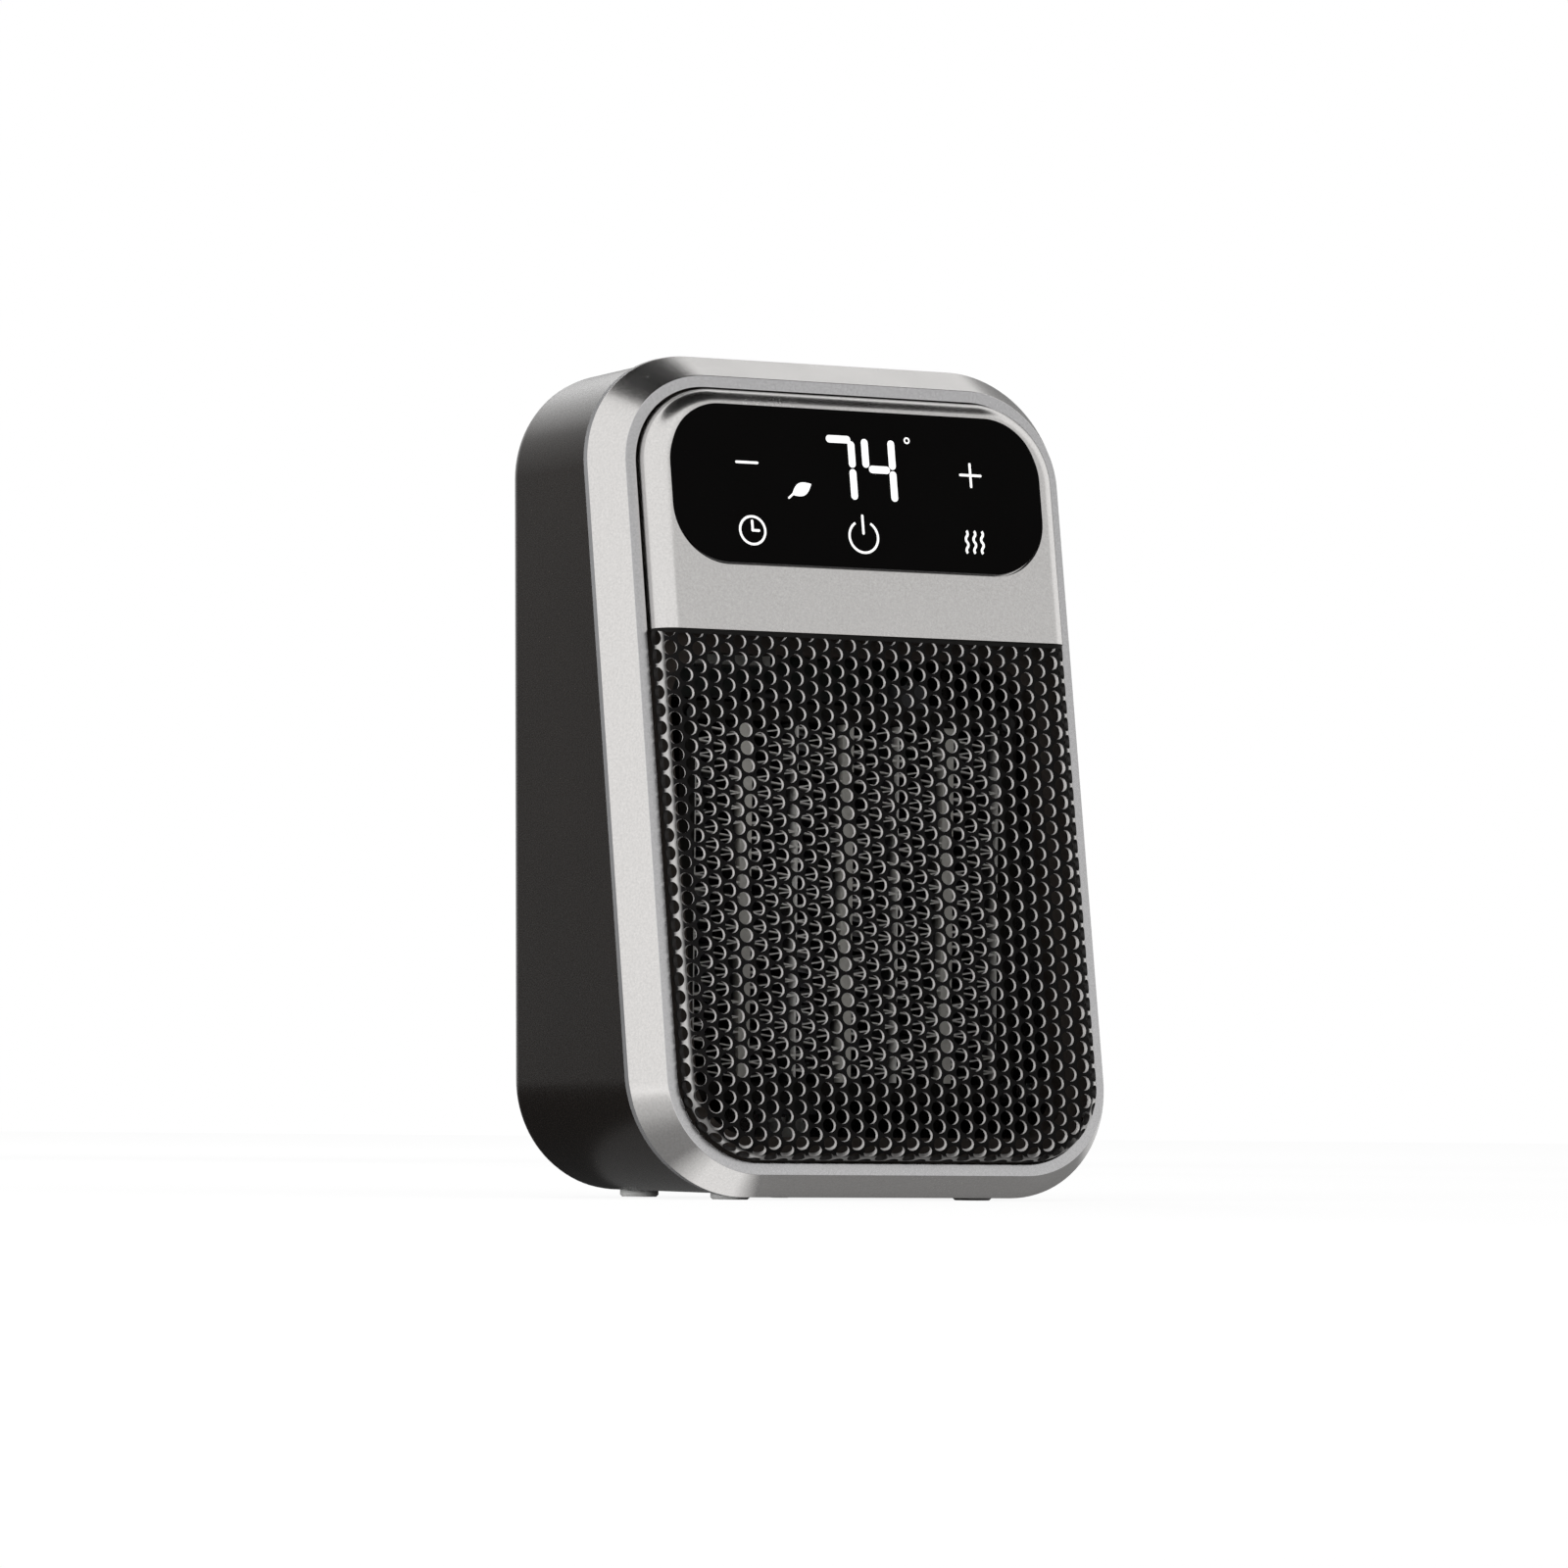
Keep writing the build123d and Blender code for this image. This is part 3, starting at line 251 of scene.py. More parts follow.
def silver_paint(name, base, roughness=0.24):
    """Satin silver paint: fine flakes in its colour and its gloss."""
    made, f = material(name)
    flake = f.noise(1500.0, 2.0, 0.7)
    cloud = f.noise(60.0, 3.0)
    tone = f.mix(f.spread(flake, 0.0, 1.0), *tones(base, 0.07))
    gloss = f.spread(cloud, roughness - 0.02, roughness + 0.02) + f.spread(flake, -0.02, 0.02)
    f.finish(f.surface(Base_Color=tone, Roughness=gloss, Metallic=1.0))
    return made


def moulded(
    name,
    base,
    roughness=0.5,
    grain=1500.0,
    strength=0.25,
    specular=0.3,
    swing=0.06,
    tint=(1.0, 1.0, 1.0),
):
    """Moulded plastic with a fine spark texture."""
    made, f = material(name)
    spark = f.noise(grain, 2.0, 0.6)
    cloud = f.noise(35.0, 3.0)
    tone = f.mix(f.spread(cloud, 0.0, 1.0), *tones(base, 0.12))
    gloss = f.spread(spark, roughness - swing, roughness + swing)
    normal = f.bump(spark, strength, 0.00008)
    varying = {"Base_Color": tone, "Roughness": gloss, "Normal": normal}
    f.finish(f.surface(Specular_IOR_Level=specular, Specular_Tint=colour(*tint), **varying))
    return made


def metal(name, base, roughness=0.3, grain=900.0):
    """Bare or plated metal with faint drawing marks."""
    made, f = material(name)
    marks = f.noise(grain, 3.0, 0.6)
    tone = f.mix(f.spread(marks, 0.0, 1.0), *tones(base, 0.1))
    gloss = f.spread(marks, roughness - 0.06, roughness + 0.08)
    normal = f.bump(marks, 0.08, 0.00005)
    f.finish(f.surface(Base_Color=tone, Roughness=gloss, Metallic=1.0, Normal=normal))
    return made


def core_coat(name, base, roughness):
    """Pale on the front of the heater core, and darker deeper in the air's way, a painted shade of
    the core's depths.
    """
    pale_depth = 0.0005
    dark_depth = 0.004
    dark_share = 0.12
    made, f = material(name)
    cloud = f.noise(500.0, 2.0)
    depth = f.node("ShaderNodeSeparateXYZ", None, {"Vector": f.place}, "Y")
    # Deeper in, the tone falls to a painted shade
    painted_shade = f.spread(depth, 0.0, 1.0, core_front + pale_depth, core_front + dark_depth)
    dark = colour(*[c * dark_share for c in base])
    tone = f.mix(painted_shade, f.mix(cloud, *tones(base, 0.08)), dark)
    f.finish(f.surface(Base_Color=tone, Roughness=roughness, Specular_IOR_Level=0.1))
    return made


def gloss_black(name, base, roughness, specular):
    """Polished black lens: nearly no colour, with faint waviness in its gloss."""
    made, f = material(name)
    cloud = f.noise(40.0, 2.0)
    tone = f.mix(cloud, *tones((base * 1.1, base, base * 0.95), 0.2))
    gloss = f.spread(cloud, roughness, roughness + 0.03)
    f.finish(f.surface(Base_Color=tone, Roughness=gloss, Specular_IOR_Level=specular))
    return made


def black_coat(name):
    """Black coat of the pressed sheet, with a painted satin sheen where the sheet's edge is rolled:
    a painted reflection, which fades again near the roll's end as a painted shade of the gap.
    """
    made, f = material(name)
    speck = f.noise(1800.0, 2.0)
    roll = f.attribute("roll")
    # Painted sheen, a painted reflection on the roll, fading back to flat black near its end as
    # painted shade
    painted_sheen = f.spread(roll, 0.0, 1.0, 0.54, 0.68) * f.spread(roll, 1.0, 0.0, 0.82, 0.92)
    flat = f.mix(speck, *tones((0.0080, 0.0075, 0.0075), 0.3))
    sheen = f.mix(speck, *tones((0.55, 0.54, 0.53), 0.06))
    tone = f.mix(painted_sheen, flat, sheen)
    gloss = f.spread(speck, 0.30, 0.40)
    sockets = {"Base_Color": tone, "Roughness": gloss, "Metallic": painted_sheen, "Specular_IOR_Level": 0.06}
    f.finish(f.surface(**sockets))
    return made


def lit_hole_wall(name):
    """Wall of a punched hole, lit by the lamps, its pale grey partly a painted highlight; black
    where the sheet's edge is rolled, a painted shade.
    """
    made, f = material(name)
    speck = f.noise(2200.0, 2.0)
    wall_highlight = f.mix(speck, *tones((0.86, 0.84, 0.83), 0.06))
    # Painted shade: the walls go black on the rolled edge
    wall_shade = f.spread(f.attribute("roll"), 0.0, 1.0, 0.45, 0.70)
    tone = f.mix(wall_shade, wall_highlight, colour(0.03, 0.028, 0.027))
    f.finish(f.surface(Base_Color=tone, Roughness=f.spread(speck, 0.36, 0.46), Metallic=0.0))
    return made


def lit_mark(name, level):
    """Backlit mark in the lens."""
    made, f = material(name)
    cloud = f.noise(300.0, 1.0)
    tone = f.mix(cloud, *tones((level, level, level * 0.99), 0.02))
    pale = colour(0.6, 0.6, 0.6)
    f.finish(f.surface(Base_Color=pale, Emission_Color=tone, Emission_Strength=1.0))
    return made


core_front = min(corner.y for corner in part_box("element_bars"))
silver = silver_paint("silver_paint", (0.70, 0.685, 0.672))
silver_band = silver_paint("silver_band", (0.60, 0.595, 0.60))
silver_rim = moulded("silver_rim", (0.28, 0.28, 0.285), 0.45, 1400.0, 0.1, 0.1)
dark_plastic = moulded(
    "dark_plastic", (0.0085, 0.0062, 0.0050), 0.28, 1400.0, 0.1, 0.32, 0.03, (1.0, 0.93, 0.88)
)
inner_plastic = moulded("inner_plastic", (0.010, 0.0095, 0.009), 0.6, 900.0, 0.15, 0.1)
lens_black = gloss_black("lens_black", 0.003, 0.08, 0.03)
gloss_plastic = moulded("gloss_plastic", (0.010, 0.010, 0.011), 0.22, 600.0, 0.03, 0.4)
grille_black = black_coat("grille_black")
grille_wall = lit_hole_wall("grille_wall")
mark_white = lit_mark("mark_white", 0.90)
finishes = {
    "silver": silver,
    "dark_plastic": dark_plastic,
    "black_gloss": gloss_plastic,
    "black_grille": grille_black,
    "frame_plastic": moulded("frame_plastic", (0.050, 0.042, 0.037), 0.6, 900.0, 0.15, 0.1),
    "ceramic_bar": core_coat("ceramic_bar", (0.60, 0.59, 0.55), 0.5),
    "fin_aluminium": core_coat("fin_aluminium", (0.80, 0.79, 0.76), 0.4),
    "heat_plastic": moulded("heat_plastic", (0.008, 0.007, 0.006), 0.7, 800.0, 0.15, 0.1),
    "duct_plastic": moulded("duct_plastic", (0.012, 0.012, 0.013), 0.6, 900.0, 0.15, 0.1),
    "fan_plastic": moulded("fan_plastic", (0.045, 0.045, 0.048), 0.4, 700.0, 0.1),
    "steel": metal("zinc_steel", (0.62, 0.62, 0.61), 0.32),
    "dark_steel": metal("dark_steel", (0.03, 0.03, 0.03), 0.45),
    "motor_steel": metal("motor_steel", (0.42, 0.42, 0.43), 0.38),
    "bronze": metal("sintered_bronze", (0.60, 0.40, 0.20), 0.45),
    "board_green": moulded("board_green", (0.004, 0.010, 0.006), 0.35, 500.0, 0.05),
    "board_black": moulded("board_black", (0.006, 0.006, 0.006), 0.45, 500.0, 0.05, 0.1),
    "component_black": moulded("component_black", (0.02, 0.02, 0.022), 0.35, 500.0, 0.08),
    "component_yellow": moulded("component_yellow", (0.62, 0.45, 0.06), 0.4, 300.0, 0.05),
    "component_blue": moulded("component_blue", (0.03, 0.09, 0.30), 0.35, 500.0, 0.05),
    "terminal_plastic": moulded("terminal_plastic", (0.70, 0.70, 0.66), 0.4, 500.0, 0.05),
    "rubber": moulded("pale_silicone", (0.88, 0.88, 0.87), 0.7, 1200.0, 0.1, 0.2),
    "white_plastic": moulded("white_plastic", (0.72, 0.72, 0.69), 0.45, 600.0, 0.05),
}
for part in frame["record"]["subparts"]:
    held = frame["nodes"][part["node"]]
    held.data.materials.clear()
    # The fuse's case takes the dark steel instead of its slot's finish
    dull = part["node"] == "thermal_fuse"
    held.data.materials.append(finishes["dark_steel" if dull else part["material_slot"]])


# Mesh tools
def ring(mesh, width, height, radius, place, centre=(0.0, 0.0), steps=CORNER_STEPS):
    """Edges of a rounded rectangle, made flat and set in its place."""
    known = set(mesh.verts)
    quad = bmesh.ops.create_grid(mesh, x_segments=1, y_segments=1, size=0.5)["verts"]
    bmesh.ops.scale(mesh, vec=(width, height, 1), verts=quad)
    bmesh.ops.bevel(
        mesh,
        geom=quad,
        offset=radius,
        offset_type="OFFSET",
        segments=steps,
        profile=0.5,
        affect="VERTICES",
        material=-1,
    )
    points = [v for v in mesh.verts if v not in known]
    bmesh.ops.translate(mesh, vec=(*centre, 0), verts=points)
    bmesh.ops.transform(mesh, matrix=place, verts=points)
    face = points[0].link_faces[0]
    edges = list(face.edges)
    bmesh.ops.delete(mesh, geom=[face], context="FACES_ONLY")
    return edges


def circle(mesh, radius, place, centre, steps=40):
    """Edges of a circle, made flat and set in its place."""
    points = bmesh.ops.create_circle(mesh, cap_ends=False, segments=steps, radius=radius)["verts"]
    bmesh.ops.translate(mesh, vec=(*centre, 0), verts=points)
    bmesh.ops.transform(mesh, matrix=place, verts=points)
    return list({edge for point in points for edge in point.link_edges})


def outline(mesh, inset, place):
    """The heater's outline, drawn in by inset."""
    width = BODY_WIDTH - 2 * inset
    return ring(mesh, width, SLOPE_HEIGHT - 2 * inset, OUTLINE_RADIUS - inset, place)


def skin(mesh, loops, closed=False):
    """Bridges each loop of edges to the next, and gives each span's faces."""
    pairs = list(zip(loops, loops[1:]))
    if closed:
        pairs.append((loops[-1], loops[0]))
    return [bmesh.ops.bridge_loops(mesh, edges=first + second)["faces"] for first, second in pairs]


def paint(faces, index):
    """Gives faces one of the piece's finishes."""
    for face in faces:
        face.material_index = index


def wall(mesh, edges, shift):
    """Draws a loop of edges out into a wall, and gives the wall's far edges."""
    drawn = bmesh.ops.extrude_edge_only(mesh, edges=edges)["geom"]
    points = [item for item in drawn if isinstance(item, bmesh.types.BMVert)]
    bmesh.ops.translate(mesh, vec=shift, verts=points)
    moved = set(points)
    return [
        item
        for item in drawn
        if isinstance(item, bmesh.types.BMEdge) and set(item.verts) <= moved
    ]


def fill(mesh, edges):
    """Fills a flat region between loops of edges."""
    bmesh.ops.triangle_fill(mesh, use_beauty=True, use_dissolve=False, edges=edges)


def soften(mesh, edges, width, steps=3):
    """Rounds a set of edges."""
    bmesh.ops.bevel(
        mesh,
        geom=edges,
        offset=width,
        offset_type="OFFSET",
        segments=steps,
        profile=0.5,
        affect="EDGES",
        material=-1,
        clamp_overlap=True,
    )


def piece(name, mesh, coats, smooth=radians(40), merge=0.001):
    """Makes a finished piece in metres, with its coats of finish, riding on the heater."""
    bmesh.ops.remove_doubles(mesh, verts=mesh.verts, dist=merge)
    bmesh.ops.recalc_face_normals(mesh, faces=mesh.faces)
    bmesh.ops.scale(mesh, vec=(MILLIMETRE,) * 3, verts=mesh.verts)
    for edge in mesh.edges:
        edge.smooth = not edge.is_manifold or edge.calc_face_angle(0.0) < smooth
    for face in mesh.faces:
        face.smooth = True
    data = bpy.data.meshes.new(name)
    mesh.to_mesh(data)
    mesh.free()
    made = bpy.data.objects.new(name, data)
    bpy.context.collection.objects.link(made)
    for coat in coats:
        data.materials.append(coat)
    weighted = made.modifiers.new("even_normals", "WEIGHTED_NORMAL")
    weighted.keep_sharp = True
    weighted.weight = 80
    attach(made, "heater")
    return made


# Bezel: a chamfered ring, hollow behind, with an inner wall round the insert
def make_bezel():
    mesh = bmesh.new()
    skin_inset = CHAMFER_SIDE * (1 - BEZEL_SKIN / CHAMFER_DEPTH) + BEZEL_SKIN
    section = [
        (0.0, BEZEL_BACK),
        (0.0, CHAMFER_DEPTH),
        (CHAMFER_SIDE, 0.0),
        (OPENING_INSET, 0.0),
        (OPENING_INSET, BEZEL_WALL_DEPTH),
        (OPENING_INSET - BEZEL_WALL, BEZEL_WALL_DEPTH),
        (OPENING_INSET - BEZEL_WALL, BEZEL_SKIN),
        (skin_inset, BEZEL_SKIN),
        (BEZEL_SKIN, CHAMFER_DEPTH),
        (BEZEL_SKIN, BEZEL_BACK),
    ]
    loops = [outline(mesh, inset, leaning(depth)) for inset, depth in section]
    front_edges = [edge for loop in loops[1:4] for edge in loop]
    spans = skin(mesh, loops, closed=True)
    paint(spans[0], 2)
    paint(spans[2], 1)
    soften(mesh, front_edges, BEZEL_EDGE, 2)
    coats = [silver, silver_band, silver_rim]
    made = piece("bezel_ring", mesh, coats, smooth=radians(25))
    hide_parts("front_bezel")


# Control panel: pillow edge, pocket for the lens, straight lower edge at the seam
def make_panel():
    mesh = bmesh.new()
    loops = [outline(mesh, PILLOW_INSET, leaning(INSERT_BACK))]
    for step in range(ROUND_STEPS + 1):
        turn = pi / 2 * step / ROUND_STEPS
        inset = PILLOW_INSET + PILLOW_ROUND * (1 - cos(turn))
        proud = INSERT_PROUD - PILLOW_ROUND * (1 - sin(turn))
        loops.append(outline(mesh, inset, leaning(-proud)))
    flat = loops[-1]
    skin(mesh, loops)
    bmesh.ops.holes_fill(mesh, edges=flat)
    cut_at = leaning(-INSERT_PROUD) @ Vector((0, SEAM + SEAM_GAP / 2, 0))
    across = Vector((0, sin(SEAM_CUT), cos(SEAM_CUT)))
    bmesh.ops.bisect_plane(
        mesh,
        geom=mesh.verts[:] + mesh.edges[:] + mesh.faces[:],
        plane_co=cut_at,
        plane_no=across,
        clear_inner=True,
    )
    # The flat front opens for the lens, whose pocket is as deep as the lens
    front = max(mesh.faces, key=lambda f: f.calc_area())
    border = list(front.edges)
    bmesh.ops.delete(mesh, geom=[front], context="FACES_ONLY")
    window = ring(
        mesh,
        WINDOW_WIDTH,
        WINDOW_HEIGHT,
        WINDOW_RADIUS,
        leaning(-INSERT_PROUD),
        (0, WINDOW_MIDDLE),
    )
    fill(mesh, border + window)
    pocket = wall(mesh, window, (0, WINDOW_THICKNESS, 0))
    bmesh.ops.holes_fill(mesh, edges=pocket)
    # The lower edge turns in a hair
    low = [
        edge
        for edge in mesh.edges
        if edge.is_boundary and all(on_plane(vert.co, cut_at, across) for vert in edge.verts)
    ]
    wall(mesh, low, -(leaning().to_3x3() @ Vector((0, 0, PANEL_LIP))))
    made = piece("control_panel_shell", mesh, [silver], smooth=radians(35))
    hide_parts("control_panel")


def on_plane(point, place, normal):
    """Whether a point lies on a plane."""
    return abs((point - place).dot(normal)) < 0.01


# Lens: a thin polished plate with a fine rounded edge
def make_lens():
    mesh = bmesh.new()
    gap = 0.12
    floor_gap = 0.05
    edge = 0.3
    edge_middle = edge * 0.3
    sizes = [
        (0.0, WINDOW_THICKNESS - floor_gap),
        (0.0, edge),
        (edge_middle, edge_middle),
        (edge, 0.0),
    ]
    loops = [
        ring(
            mesh,
            WINDOW_WIDTH - 2 * (gap + inset),
            LENS_HEIGHT - 2 * (gap + inset),
            WINDOW_RADIUS - gap - inset,
            leaning(depth - INSERT_PROUD - LENS_LIFT),
            (0, WINDOW_MIDDLE + LENS_RISE),
        )
        for inset, depth in sizes
    ]
    skin(mesh, loops)
    bmesh.ops.holes_fill(mesh, edges=loops[0])
    bmesh.ops.holes_fill(mesh, edges=loops[-1])
    made = piece("lens_plate", mesh, [lens_black])
    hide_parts("display_window")


# Grille: one pressed sheet of round staggered holes whose edge rolls back
HOLE_PITCH = 5.067
COLUMN_STEP = 4.385
HOLE_RADIUS = 2.05
HOLE_SIDES = 16
FIRST_ROW = 36.9
SHEET = 1.2
SOLID_LIP = 1.3
HEM = 10.2
SHEET_ROUND = 6.4
SHEET_SINK = 0.06
SEAM_REACH = 8.0
# How soon and how far the painted sheen rises on the roll's right side
SHEEN_RISE = 1.8
SHEEN_MOST = 0.8
STRIP_STEPS = 120


def rolled(mesh):
    """Bends the flat sheet, its face at height 0, over the insert's rounded edge.

    The attribute roll says how strong the grille's painted sheen, a painted reflection, is there:
    to the roll's end on the left, and on the right sooner, but not as strong.
    """
    inner_x = BODY_WIDTH / 2 - OUTLINE_RADIUS
    inner_y = SLOPE_HEIGHT / 2 - OUTLINE_RADIUS
    corner = OUTLINE_RADIUS - PILLOW_INSET - SHEET_ROUND
    roll = mesh.verts.layers.float.new("roll")
    for vert in mesh.verts:
        point = vert.co
        over_x = max(abs(point.x) - inner_x, 0.0)
        over_y = max(-point.y - inner_y, 0.0)
        reach = hypot(over_x, over_y)
        past = reach - corner
        if past <= 0:
            continue
        turn = min(past / SHEET_ROUND, pi / 2)
        straight = max(past - SHEET_ROUND * pi / 2, 0.0)
        flat = corner + (SHEET_ROUND + point.z) * sin(turn)
        side = 1 if point.x > 0 else -1
        point.x = side * (min(abs(point.x), inner_x) + over_x / reach * flat)
        point.y = max(point.y, -inner_y) - over_y / reach * flat
        point.z = (SHEET_ROUND + point.z) * cos(turn) - SHEET_ROUND - straight
        # By the seam the roll follows the panel's nearly level cut
        near_seam = max(1 - (SEAM - point.y) / SEAM_REACH, 0.0)
        point.y -= point.z * tan(FRONT_LEAN - SEAM_CUT) * near_seam
        bent = turn / (pi / 2)
        vert[roll] = bent if side < 0 or over_x < over_y else min(bent * SHEEN_RISE, SHEEN_MOST)


def rows_under(x, top):
    """How many holes of a column lie on the sheet before it is rolled."""
    inner_x = BODY_WIDTH / 2 - OUTLINE_RADIUS
    inner_y = SLOPE_HEIGHT / 2 - OUTLINE_RADIUS
    reach = OUTLINE_RADIUS - FLAT_INSET + HEM
    over_x = max(abs(x) - inner_x, 0.0)
    lowest = -inner_y - sqrt(max(reach**2 - over_x**2, 0.0)) if over_x < reach else top
    return int((top - lowest) / HOLE_PITCH) + 1


def make_grille():
    mesh = bmesh.new()
    bmesh.ops.create_circle(mesh, segments=HOLE_SIDES, radius=HOLE_RADIUS)
    corners = bmesh.ops.create_circle(mesh, segments=6, radius=1.0)["verts"]
    for step, corner in enumerate(corners):
        turn = pi / 3 * step
        corner.co = (COLUMN_STEP * 2 / 3 * cos(turn), HOLE_PITCH / sqrt(3) * sin(turn), 0)
    fill(mesh, mesh.edges[:])
    # One column of cells, copied to each place with as many cells as the sheet has there
    cell = mesh.verts[:] + mesh.edges[:] + mesh.faces[:]
    width = BODY_WIDTH / 2 - FLAT_INSET + HEM
    columns = int(width / COLUMN_STEP)
    cells = [cell]
    for row in range(1, rows_under(0.0, FIRST_ROW + HOLE_PITCH / 2)):
        cells.append(copied(mesh, cell, (0, -row * HOLE_PITCH, 0)))
    for column in range(-columns, columns):
        x = (column + 0.5) * COLUMN_STEP
        top = FIRST_ROW + HOLE_PITCH / 2 * (column % 2)
        geometry = [item for each in cells[: rows_under(x, top)] for item in each]
        copied(mesh, geometry, (x, top, 0))
    master = [item for each in cells for item in each if isinstance(item, bmesh.types.BMVert)]
    bmesh.ops.delete(mesh, geom=master, context="VERTS")
    bmesh.ops.remove_doubles(mesh, verts=mesh.verts, dist=0.02)
    # The lip under the panel stays without holes
    bmesh.ops.bisect_plane(
        mesh,
        geom=mesh.verts[:] + mesh.edges[:] + mesh.faces[:],
        plane_co=(0, SEAM - SOLID_LIP, 0),
        plane_no=(0, 1, 0),
        clear_outer=True,
    )
    thickened(mesh)
    rolled(mesh)
    bmesh.ops.transform(mesh, matrix=leaning(SHEET_SINK - INSERT_PROUD), verts=mesh.verts)
    coats = [grille_black, grille_wall]
    made = piece("grille_sheet", mesh, coats, smooth=radians(50), merge=0.0005)
    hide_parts("front_grille")


def copied(mesh, geometry, shift):
    """Copies geometry to another place, and gives the copy."""
    copy = bmesh.ops.duplicate(mesh, geom=geometry)["geom"]
    points = [item for item in copy if isinstance(item, bmesh.types.BMVert)]
    bmesh.ops.translate(mesh, vec=shift, verts=points)
    return copy


def thickened(mesh):
    """Gives the flat sheet its thickness, downwards, with the walls of its holes as second coat."""
    bmesh.ops.recalc_face_normals(mesh, faces=mesh.faces)
    if mesh.faces[:][0].normal.z < 0:
        bmesh.ops.reverse_faces(mesh, faces=mesh.faces)
    bmesh.ops.solidify(mesh, geom=mesh.faces[:], thickness=SHEET)
    top = max(vert.co.z for vert in mesh.verts)
    bmesh.ops.translate(mesh, vec=(0, 0, -top), verts=mesh.verts)
    mesh.normal_update()
    paint([face for face in mesh.faces if abs(face.normal.z) < 0.5], 1)


def make_lip():
    """Plain strip between the last holes and the panel, rolled like the sheet."""
    mesh = bmesh.new()
    half = BODY_WIDTH / 2 - FLAT_INSET + HEM
    strip = SOLID_LIP - SEAM_GAP / 2
    points = bmesh.ops.create_grid(mesh, x_segments=STRIP_STEPS, y_segments=2, size=0.5)["verts"]
    bmesh.ops.scale(mesh, vec=(2 * half, strip, 1), verts=points)
    bmesh.ops.translate(mesh, vec=(0, SEAM - SEAM_GAP / 2 - strip / 2, 0), verts=points)
    thickened(mesh)
    paint(mesh.faces, 0)
    rolled(mesh)
    bmesh.ops.transform(mesh, matrix=leaning(SHEET_SINK - INSERT_PROUD), verts=mesh.verts)
    piece("grille_lip", mesh, [inner_plastic])


# Housing: outer and inner skins, open at the front, with the back's slots and holes
INTAKE_RADIUS = 47.0
INTAKE_SLOT = 3.4
INTAKE_PITCH = 6.6
INTAKE_RIB = 4.0
INTAKE_CORNER = 1.3
SOCKET_SIDE = 36.0
SOCKET_HIGH = 20.0
SWITCH_HOLE = (19.1, 13.1)
SWITCH_CORNER = 0.5
GLAND_HOLE = 5.75
WELL_SIDE = 61.0
WELL_HEIGHTS = (31.0, 208.0)
WELL_RADIUS = 3.3
WELL_FLOOR = 28.2
BASE_AREA = 2000.0
PLUNGER_HOLE = 3.6
PLUNGER_BACK = 20.0
PLUNGER_WALL = 3.0


def make_housing():
    mesh = bmesh.new()
    outer = housing_loops(mesh, 0.0)
    inner = housing_loops(mesh, HOUSING_WALL)
    skin(mesh, outer)
    skin(mesh, inner)
    skin(mesh, [outer[0], inner[0]])
    holes = intake_slots(mesh)
    low = SOCKET_HIGH - MIDDLE
    holes.append(ring(mesh, *SWITCH_HOLE, SWITCH_CORNER, backward(), (SOCKET_SIDE, low), 2))
    holes.append(circle(mesh, GLAND_HOLE, backward(), (-SOCKET_SIDE, low)))
    inward = backward().to_3x3() @ Vector((0, 0, HOUSING_WALL))
    wells = []
    for z in WELL_HEIGHTS:
        for x in (-WELL_SIDE, WELL_SIDE):
            place = (x, (z - MIDDLE) / cos(REAR_LEAN))
            wells.append((circle(mesh, WELL_RADIUS, backward(), place), z))
    openings = holes + [well for well, z in wells]
    fill(mesh, outer[-1] + [edge for opening in openings for edge in opening])
    far = [edge for hole in holes for edge in wall(mesh, hole, inward)]
    for well, z in wells:
        end = wall(mesh, well, (0, slope_y(z) + WELL_FLOOR - rear_y(z), 0))
        bmesh.ops.holes_fill(mesh, edges=end)
    fill(mesh, inner[-1] + far)
    open_base(mesh)
    made = piece("housing_shell", mesh, [dark_plastic], smooth=radians(35))
    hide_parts("rear_housing")


def intake_slots(mesh):
    """Two columns of level slots in a circle round the fan's axis."""
    slots = []
    rows = int((INTAKE_RADIUS - INTAKE_SLOT / 2) / INTAKE_PITCH)
    centre = fan_axis - MIDDLE
    for row in range(-rows, rows + 1):
        edge = abs(row * INTAKE_PITCH) + INTAKE_SLOT / 2
        length = sqrt(INTAKE_RADIUS**2 - edge**2) - INTAKE_RIB / 2
        for side in (-1, 1):
            place = (side * (INTAKE_RIB + length) / 2, centre + row * INTAKE_PITCH)
            slots.append(ring(mesh, length, INTAKE_SLOT, INTAKE_CORNER, backward(), place, 5))
    return slots


def open_base(mesh):
    """Opens the flat of the base for the tip-over plunger."""
    flats = [face for face in mesh.faces if face.calc_area() > BASE_AREA]
    base = min(flats, key=lambda face: face.calc_center_median().z)
    border = list(base.edges)
    corner = base.verts[0].co.copy()
    normal = base.normal.copy()
    bmesh.ops.delete(mesh, geom=[base], context="FACES_ONLY")
    opening = circle(mesh, PLUNGER_HOLE, Matrix.Identity(4), (0.0, PLUNGER_BACK))
    for point in {vert for edge in opening for vert in edge.verts}:
        across = point.co - corner
        across.z = 0.0
        point.co.z = corner.z - across.dot(normal) / normal.z
    fill(mesh, border + opening)
    wall(mesh, opening, (0, 0, PLUNGER_WALL))


